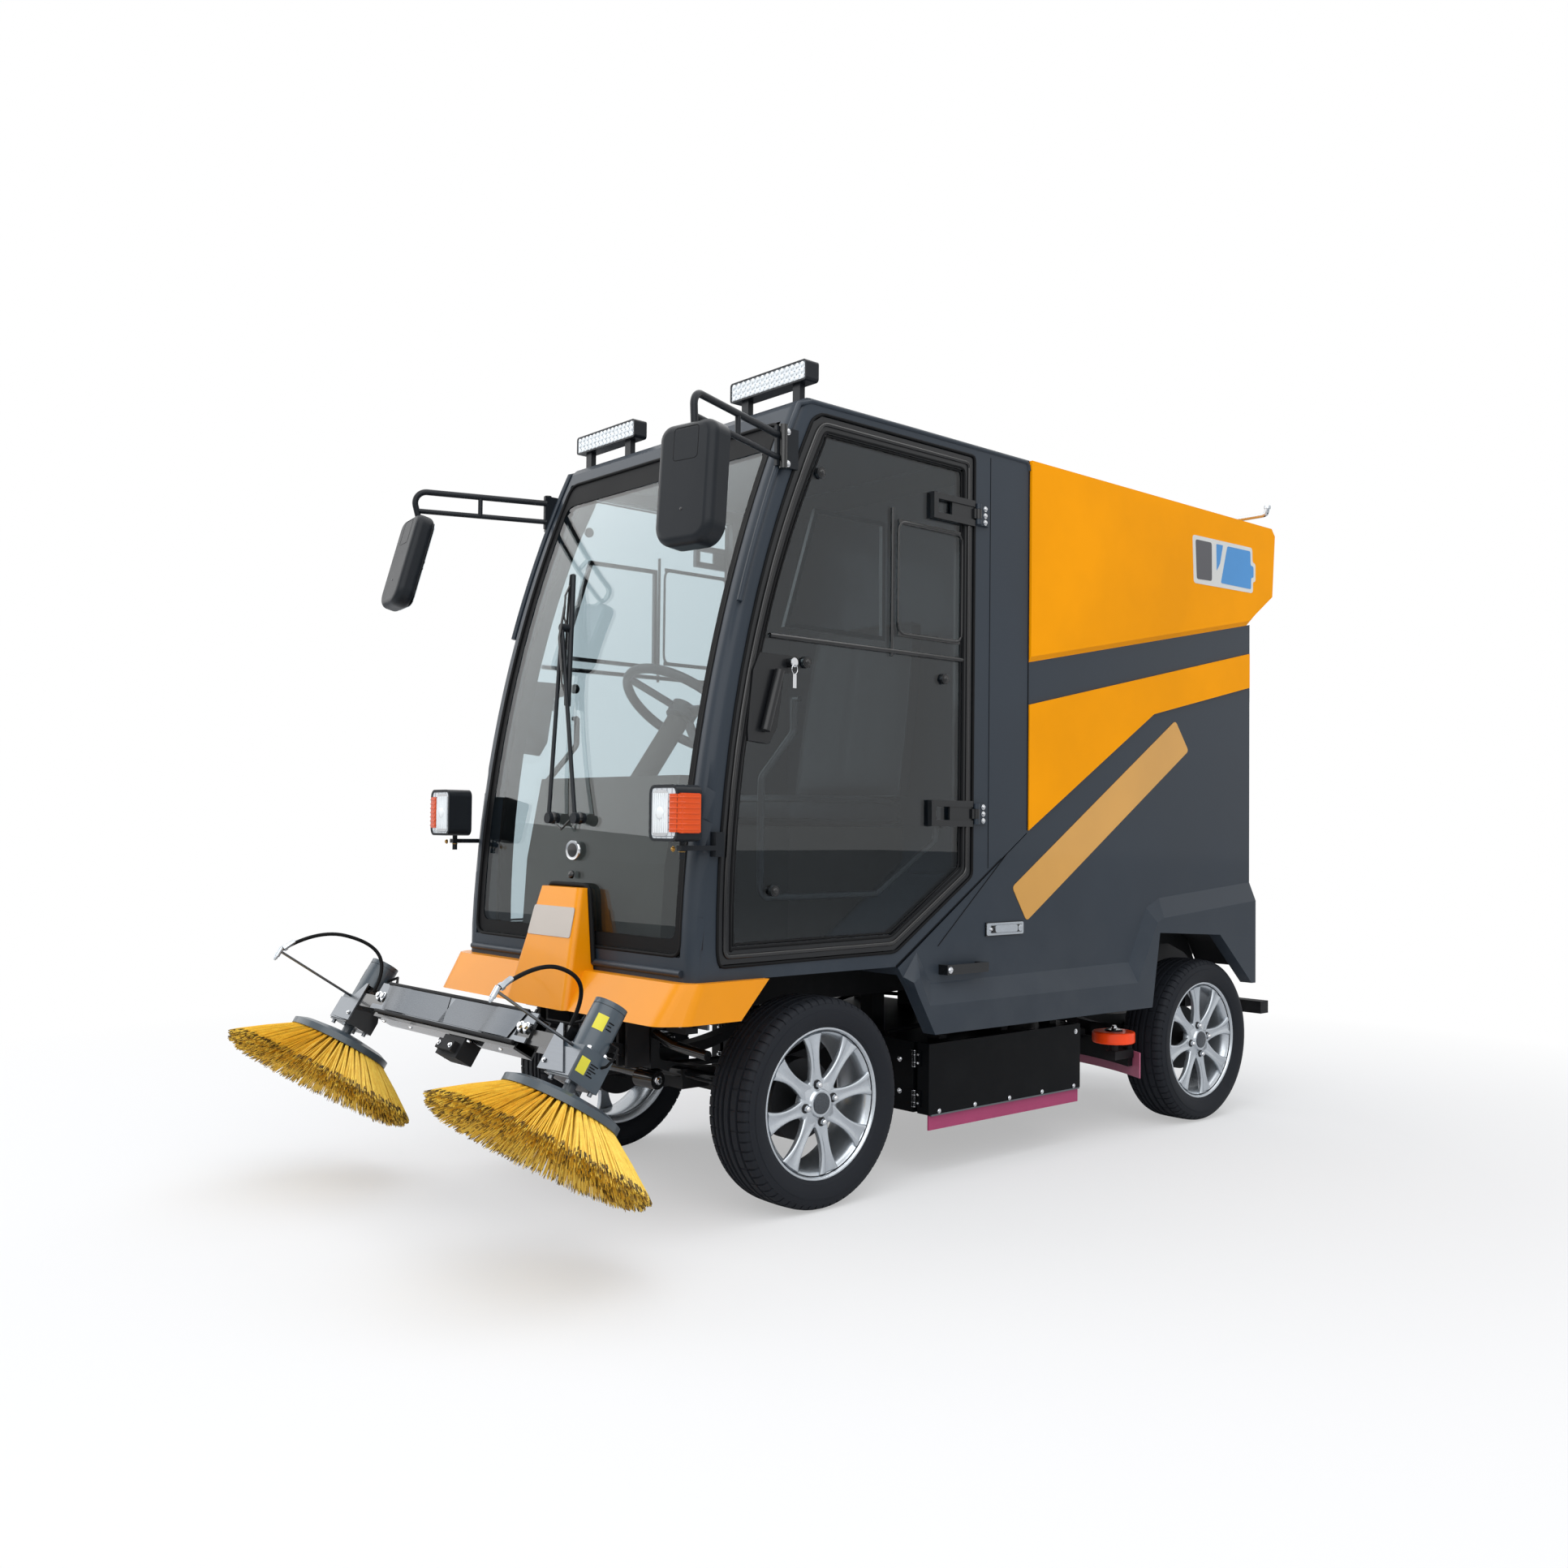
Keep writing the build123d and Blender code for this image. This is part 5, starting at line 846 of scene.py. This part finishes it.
def cab_trim():
    """Roof gutter, pillar seams, light cells and lamp bolts."""
    trim = Piece("cab_trim", "chassis", "charcoal", "seal", "brass", smooth=50)
    gutter = [(station + 6, z + 4) for station, z in arc(nose_low, nose_mid, nose_high, 24)[15:]]
    trim.line(535, gutter + [(-80, 2108), (300, 2109), (806, 2108), (818, 2099), (820, 2084)], 7.5, 10)
    trim.now = 1
    for seam, radius in (([(256, 622), (700, 912)], 1.4), ([(820, 996), (820, 2080)], 1.8),
                         ([(640, 884), (640, 2090)], 1.0)):
        trim.line(538.4, seam, radius, 6)
    trim.now = 2
    trim.bolt((548, -494, 938), DOWN, 6.5, 6)
    trim.bolt((548, -520, 944), AHEAD, 5, 4)
    trim.mirror()
    trim.done()

    cells = Piece("roof_light_cells", "chassis", "light_cell", "seal", smooth=70, slot="clear_lens")
    for row in range(3):
        for column in range(15):
            place = (241 + column * cell_pitch[0], -96.5, 2175 + row * cell_pitch[1])
            cells.dome(place, AHEAD, 6.6, 3.2, 12)
    # cooling ribs behind
    cells.now = 1
    for x in [246 + rib * 24.5 for rib in range(12)]:
        cells.box((x - 1.5, x + 1.5), (-53, -45), (2170, 2214))
    cells.mirror()
    cells.done()

    # fluted glass over a chrome bowl, with its bulb cap in the middle
    lamps = Piece("headlamp_reflectors", "chassis", "light_cell", "chrome", smooth=60, slot="clear_lens")
    for x in [505 + flute * 7.4 for flute in range(8)]:
        lamps.rod([(x, -546.6, 982), (x, -547.6, 1029), (x, -546.6, 1076)], [2.4, 3.2, 2.4])
    lamps.dome((531, -548.5, 1029), AHEAD, 15, 4, 24)
    lamps.now = 1
    bowl = rounded(rectangle((499, 562), (974, 1084)), 16)
    lamps.skin([[(x, station, z) for x, z in bowl] for station in (-546.3, -547.3)])
    lamps.mirror()
    lamps.done()

    # ribbed amber glass wrapped round the outer front of each headlamp
    signals = Piece("signal_glass", "chassis", "signal", smooth=60, slot="amber_lens")
    wrap = [(568, -548.8), (594, -548.8), (605, -544), (612.5, -534), (613.5, -490), (604.5, -490),
            (604.5, -541), (568, -543.5)]
    signals.skin([[(*point, z) for point in wrap] for z in (984, 987, 1071, 1074)])
    rib = [(570, -549.0), (594, -549.0), (605, -544.4), (612.5, -534.4), (613.6, -494)]
    for row in range(7):
        signals.rod([(*point, 991 + row * 12.6) for point in rib], 2.2, 6)
    signals.mirror()
    signals.done()


def mirror_trim():
    """Inset panels on the mirrors' backs, their glass and the arms' bolts."""
    trim = Piece("mirror_trim", "chassis", "gloss_black", "mirror_glass", "chrome", "seal", smooth=60)
    for side, lean in ((1, 4.0), (-1, 15.0)):
        toe, tilt = radians(10) * side, radians(lean)
        across = Vector((cos(toe), sin(toe), 0))
        up = UP * cos(tilt) + Vector((-sin(toe), cos(toe), 0)) * sin(tilt)
        out = across.cross(up)

        def spot(u, v, proud):
            return Vector((side * 690, -592, 1775)) + across * u + up * v + out * proud

        trim.now = 3
        inset = rounded(rectangle((-34, 40), (52, 128)), 10)
        trim.rod([spot(u, v, 28) for u, v in inset], 1.5, 6, closed=True)
        trim.now = 0
        trim.dome(spot(0, -62, 28.5), out, 4, 2)
        trim.turned((side * 552, -190, 1910), UP, [(0, 11), (112, 11)], 20)
        trim.now = 1
        pane = rounded(rectangle((-76, 76), (-132, 132)), 30)
        trim.skin([[spot(u, v, proud) for u, v in pane] for proud in (-28.6, -30.2)])
        trim.now = 2
        for z in (1926, 2008):
            trim.bolt((side * 548, -171, z), (side, 0, 0), 6.5, 4)
    trim.done()


def wiper_trim():
    """Covers over the wiper's pivots, its washer hose and the spring blade's bridges."""
    trim = Piece("wiper_trim", "chassis", "gloss_black", "seal", "chrome", smooth=60)
    pivot_station = nose_station(1016, -16)
    for x in (-108, 21):
        trim.now = 0
        trim.dome((x, pivot_station + 8, 1016), (0, -1, 0.12), 17, 16)
        trim.now = 2
        trim.bolt((x, pivot_station - 8, 1017), (0, -1, 0.12), 5, 4)
    blade = [Vector(point) for point in on_nose([(-118 - 12 * i, 1330 + 33 * i) for i in range(13)], -21)]
    trim.now = 1
    trim.rod(blade, 3.2, 6)
    trim.now = 0
    beside = AHEAD * 12
    for i in (1, 7):
        trim.rod([blade[i], blade[i + 1] + beside, blade[i + 3] + beside, blade[i + 4]], 3.0, 6)
    trim.rod([blade[3] + beside, blade[6] + beside * 2.0, blade[9] + beside], 4.0)
    hose = ((-30, 1010, -6), (-52, 985, -16), (-78, 1000, -18), (-100, 1012, -8))
    trim.rod([(x, nose_station(z, setback), z) for x, z, setback in hose], 3)
    trim.done()


def swell(u, v, squareness, least):
    """How far a stuffed face stands out: crowned, with sewn channels along v."""
    edge = max((1 - abs(u) ** 5) * (1 - abs(v) ** squareness), 0)
    channel = 1 - 0.10 * exp(-((sin(u * tau) / 0.22) ** 2)) * edge
    return (least + (1 - least) * edge ** 0.5) * channel


def stuffed(piece, surface, across, along):
    """Both faces of a stuffed form; surface turns u and v of -1 to 1 and a face of -1 or 1 into a place."""
    for face in (-1, 1):
        piece.skin([[surface(u, v, face) for u in between(-1, 1, across)] for v in between(-1, 1, along)],
                   around=False, capped=False)


def seats():
    """Stuffed seat and back with rounded sides and piping."""
    def on_seat(u, v, share):
        return (235 * u, 365 + 235 * v, 1047.5 + 47.5 * share)

    def on_back(u, v, face):
        share = (v + 1) / 2
        station = 600 + 80 * share + face * 45 * swell(u, v, 6, 0.5)
        return (u * (232 - 26 * share ** 4), station, 1096.5 + 543 * share)

    base = Piece("seat_cushion", "chassis", "seat", smooth=80, slot="seat_vinyl")
    stuffed(base, lambda u, v, face: on_seat(u, v, face * swell(u, v, 5, 0.55)), 28, 20)
    edge = rounded(rectangle((-1, 1), (-1, 1)), 0.16, 6)
    base.skin([[on_seat(u * size, v * size, share) for u, v in edge]
               for share, size in ((-0.5, 0.985), (-0.25, 1.0), (0.25, 1.0), (0.5, 0.985))], capped=False)
    base.rod([on_seat(u * 0.985, v * 0.985, 0.56) for u, v in edge], 4.0, closed=True)

    back = Piece("seat_back", "chassis", "seat", smooth=80, slot="seat_vinyl")
    across, rise = 26, 30
    stuffed(back, on_back, across, rise)
    edge = [(-1, v) for v in between(-1, 1, rise)[:-1]] + [(u, 1) for u in between(-1, 1, across)[:-1]]
    edge += [(-u, -v) for u, v in edge]
    back.skin([[on_back(u, v, face) for u, v in edge] for face in (-1, -0.5, 0, 0.5, 1)], capped=False)
    back.rod([on_back(u, v, -0.9) for u, v in edge], 4.0, closed=True)
    for piece in (base, back):
        piece.done("seat_cushions")


windscreen_trim()
cab_trim()
mirror_trim()
wiper_trim()
seats()
for side, name in side_names.items():
    door_trim(side, name)


# ---------------- body, apron and deck
def body_plates():
    """Bare plates and the blank charge mark on the body's sides."""
    plates = Piece("body_plates", "chassis", "gold_plate", "decal_white", "decal_blue", "decal_grey",
                   smooth=30)
    plate, ground, mark = (533.8, 535.6), (545.8, 547.0), (546.8, 547.6)
    for finish, x, radius, outline in (
            (0, plate, 14, [(756, 827), (824, 724), (1697, 1273), (1617, 1372)]),
            (1, ground, 14, [(1700, 2018), (2090, 2025), (2092, 1972), (2112, 1970), (2112, 1905),
                             (2095, 1902), (2095, 1861), (1709, 1852)]),
            (3, mark, 10, [(1718, 2004), (1820, 2006), (1822, 1872), (1727, 1868)]),
            (2, mark, 4, [(1850, 2006), (1893, 2007), (1874, 1940), (1853, 1912)]),
            (2, mark, 8, [(1922, 2008), (2076, 2011), (2078, 1960), (2098, 1958), (2099, 1918), (2082, 1916),
                          (2081, 1874), (1880, 1872)])):
        plates.now = finish
        plates.slab(rounded(outline, radius), x)
    plates.mirror()
    plates.done()


def body_trim():
    """Panel seams, latch and handle bolts, wheel-arch liners and the pipe's sleeve."""
    trim = Piece("body_trim", "chassis", "seal", "chrome", "alloy", smooth=50)
    trim.line(534.4, [(824, 1000), (824, 2112)], 1.6, 6)
    trim.line(534.4, [(826, 1008), (430, 668)], 1.4, 6)
    trim.now = 2
    trim.slab(rounded(rectangle((636, 804), (688, 724)), 6), (537.5, 540))
    trim.slab(rounded(rectangle((668, 770), (696, 717)), 9), (541.5, 546))
    trim.turned((540, 786, 706), OUT, [(0, 10), (3.5, 10), (4.5, 8), (3.6, 3)], 24)
    trim.now = 1
    trim.bolt((568, 446, 602), OUT, 7, 4)
    trim.bolt((540, 654, 706), OUT, 4, 3)
    trim.mirror()
    trim.done()

    # dark liners bent over the rear wheels, inside the body's arches
    liners = Piece("arch_liners", "chassis", "chassis", smooth=60)
    bend = [(1500, 640), (1590, 668), (1860, 668), (1985, 600)]
    sheet = [(1455, 560), *bend, (2040, 520)]
    liners.slab(sheet + [(station, z + 2) for station, z in reversed(sheet)], (352, 511))
    wall = [(1450, 540), *bend, (2044, 500), (1960, 560), (1860, 596), (1590, 596), (1510, 560)]
    liners.slab(wall, (350, 352))
    liners.mirror()
    liners.done()

    # bright sleeve over the upturned pipe at the top of the tail, with its cap
    pipe = Piece("pipe_sleeve", "chassis", "alloy", smooth=60)
    route = [(300, 2165), (528, 2165), (538, 2168), (541.5, 2176), (543.5, 2190)]
    pipe.rod([(x, 2200, z) for x, z in route], 9.0, 16)
    pipe.turned((543.6, 2200, 2186), (0.14, 0, 1), [(0, 12), (10, 12), (12, 10), (12.5, 1)], 20)
    pipe.done()


def apron_trim():
    """Black rubber along the hump's edge and the bare plate on its face."""
    trim = Piece("apron_trim", "chassis", "seal", "grey_plate", smooth=50)
    edge = rounded([(-140, 600), (-97, 838), (97, 838), (140, 600)], 26, 6)[7:-7]
    trim.rod(on_nose([(-132, 640), *edge, (132, 640)], -7), 7.0, 10)
    trim.now = 1
    low_station, low_height = -558.0, 522.0
    lean = 76 / 310                     # how far the hump's face falls back as it rises
    plate = rounded([(-103, 703), (103, 703), (97, 781), (-97, 781)], 8)
    trim.skin([[(x, low_station + lean * (z - low_height) - proud, z + proud * 0.25) for x, z in plate]
               for proud in (0.2, 2.0)])
    trim.done()
    shade = Piece("sill_trim", "chassis", "charcoal", smooth=50)
    shade.rod(on_nose([(-500, 640), (500, 640)], -3), 9, 10)
    shade.done()


def deck_trim():
    """Bolts, hinge pins and edge strips of the brush deck and the squeegee."""
    for side, name in side_names.items():
        trim = Piece(f"deck_door_trim_{name}", f"{name}_deck_door", "chrome", "steel", side=side)
        for station in (490, 646, 804, 961, 1121):
            trim.bolt((490, station, 192), OUT, 5, 3)
        trim.bolt((490, 1130, 362), OUT, 6, 3)
        for z in (214, 238, 328, 352):
            trim.bolt((452, 444, z), AHEAD, 4, 3)
        trim.now = 1
        trim.box((484, 491.2), (456, 1150), (180, 184.5))
        trim.done()
        wheel = Piece(f"guide_trim_{name}", f"{name}_guide_wheel", "gloss_black", side=side)
        wheel.turned((445, 1398, 335), UP, [(-1, 30), (3, 30), (5, 26), (4, 12)])
        wheel.done()
    fixed = Piece("deck_fixings", "chassis", "chrome", "chassis", "seal")
    for hinge in (202, 316):
        fixed.turned((438, 440, hinge), UP, [(0, 7), (48, 7)], 16)
    for z in (238, 330):
        fixed.bolt((376, 446, z), AHEAD, 6, 4)
    fixed.bolt((448, 1398, 343), UP, 9, 9)
    fixed.bolt((448, 1461, 252), AHEAD, 5, 3)
    fixed.now = 1
    for station in (560, 840, 1080):
        fixed.box((395, 440), (station - 16, station + 16), (385, 397))
    fixed.now = 2
    fixed.rod([(300, 470, 395), (330, 600, 412), (300, 800, 396), (330, 1000, 420), (280, 1180, 400)], 7)
    fixed.mirror()
    fixed.done(bevel=0.6)


def front_links():
    """Links, bushes and brackets that show under the apron, between the brushes and the front wheels."""
    links = Piece("front_links", "chassis", "cast", "gloss_black", "chrome", "steel", smooth=45)
    links.box((150, 235), (-240, -150), (300, 352))
    links.box((300, 380), (-345, -305), (470, 515))
    links.rod([(120, -260, 300), (120, 240, 290)], 11, 10)
    links.now = 1
    links.rod([(230, -330, 455), (300, -318, 430), (430, -312, 420)], 13, 12)
    links.rod([(180, -300, 360), (250, -180, 330), (236, -60, 300)], 15, 12)
    links.rod([(150, -320, 330), (226, -314, 330)], 24, 20)
    links.now = 2
    links.bolt((226, -314, 330), OUT, 9, 8)
    for x in (320, 360):
        links.bolt((x, -345, 492), AHEAD, 6, 5)
    links.now = 3
    links.rod([(330, -300, 508), (420, -292, 500)], 6)
    links.box((340, 440), (-322, -316), (486, 514))
    links.mirror()
    links.now = 1
    links.rod([(-150, -300, 340), (150, -300, 340)], 16, 14)
    for x, lift in ((-120, 0), (60, 24)):
        links.rod([(x, -300, 470), (x + 50, -345, 440 + lift), (x + 110, -350, 430 + lift),
                   (x + 150, -310, 460)], 6)
    # coil spring of six turns round each strut
    wound, coil_radius = 6 * tau, 34
    for x in (-215, 215):
        links.rod([(x + coil_radius * cos(turn), 30 + coil_radius * sin(turn), 330 + 130 * turn / wound)
                   for turn in between(0, wound, 96)], 6.5)
    links.done()


body_plates()
body_trim()
apron_trim()
deck_trim()
front_links()


# ---------------- stage, light and camera
def make_stage():
    bpy.ops.mesh.primitive_plane_add(size=80, location=(0, 0, 0))
    floor = bpy.context.object
    floor.name = "studio_floor"
    ground = Finish("studio_floor_pale")
    seen = ground.node("ShaderNodeLightPath", output="Is Camera Ray")
    away = ground.node("ShaderNodeVectorMath", {"operation": "LENGTH"}, [ground.where], output=1)
    glow = ground.node("ShaderNodeEmission", values=[srgb("ffffff"), 1.0])
    matt = ground.node("ShaderNodeBsdfDiffuse", values=[(0.80, 0.80, 0.81, 1)])
    share = (0.42 + 0.58 * away.ramp(1.9, 4.2)) * seen
    ground.surface(ground.node("ShaderNodeMixShader", values=[share, matt, glow]))
    floor.data.materials.append(ground.material)


def make_world():
    """White where the camera, mirrors and panes look, and a mild light elsewhere."""
    world = bpy.data.worlds.new("studio_world")
    bpy.context.scene.world = world
    world.use_nodes = True
    sky = Graph(world.node_tree)
    seen, through, mirrored = (sky.node("ShaderNodeLightPath", output=f"Is {kind} Ray")
                               for kind in ("Camera", "Transmission", "Glossy"))
    looked_at = seen.math("MAXIMUM", through).math("MAXIMUM", mirrored)
    mild = sky.node("ShaderNodeBackground", values=[(0.9, 0.95, 1.0, 1), 0.5])
    white = sky.node("ShaderNodeBackground", values=[srgb("ffffff"), 1.0])
    sky.surface(sky.node("ShaderNodeMixShader", values=[looked_at, mild, white]), "World Output")


def area_light(name, place, target, size, power):
    data = bpy.data.lights.new(name, "AREA")
    data.shape = "RECTANGLE"
    data.size, data.size_y = size
    data.energy = power
    lamp = bpy.data.objects.new(name, data)
    lamp.location = place
    lamp.rotation_euler = (Vector(target) - Vector(place)).to_track_quat("-Z", "Y").to_euler()
    bpy.context.scene.collection.objects.link(lamp)


def make_camera():
    place = Vector((3.22608, axle_y - 2.56479, 1.00357))
    yaw, pitch, roll = 48.205, 1.6615, 0.6544
    data = bpy.data.cameras.new("studio_camera")
    data.sensor_fit = "HORIZONTAL"
    data.angle = radians(57.92)
    camera = bpy.data.objects.new("studio_camera", data)
    camera.matrix_world = Matrix.Translation(place)
    for degrees, axis in ((yaw, "Z"), (90 + pitch, "X"), (roll, "Z")):
        camera.matrix_world @= Matrix.Rotation(radians(degrees), 4, axis)
    bpy.context.scene.collection.objects.link(camera)
    bpy.context.scene.camera = camera


make_stage()
make_world()
area_light("key_light", (4.5, -4.5, 5.5), (0, 0, 1), (9, 7), 335)
area_light("fill_light", (-4.5, -4.0, 4.0), (0, 0, 1), (5, 5), 125)
area_light("top_light", (0, 0.5, 6.0), (0, 0.3, 1), (8, 8), 235)
make_camera()
bpy.context.scene.view_settings.view_transform = "Standard"
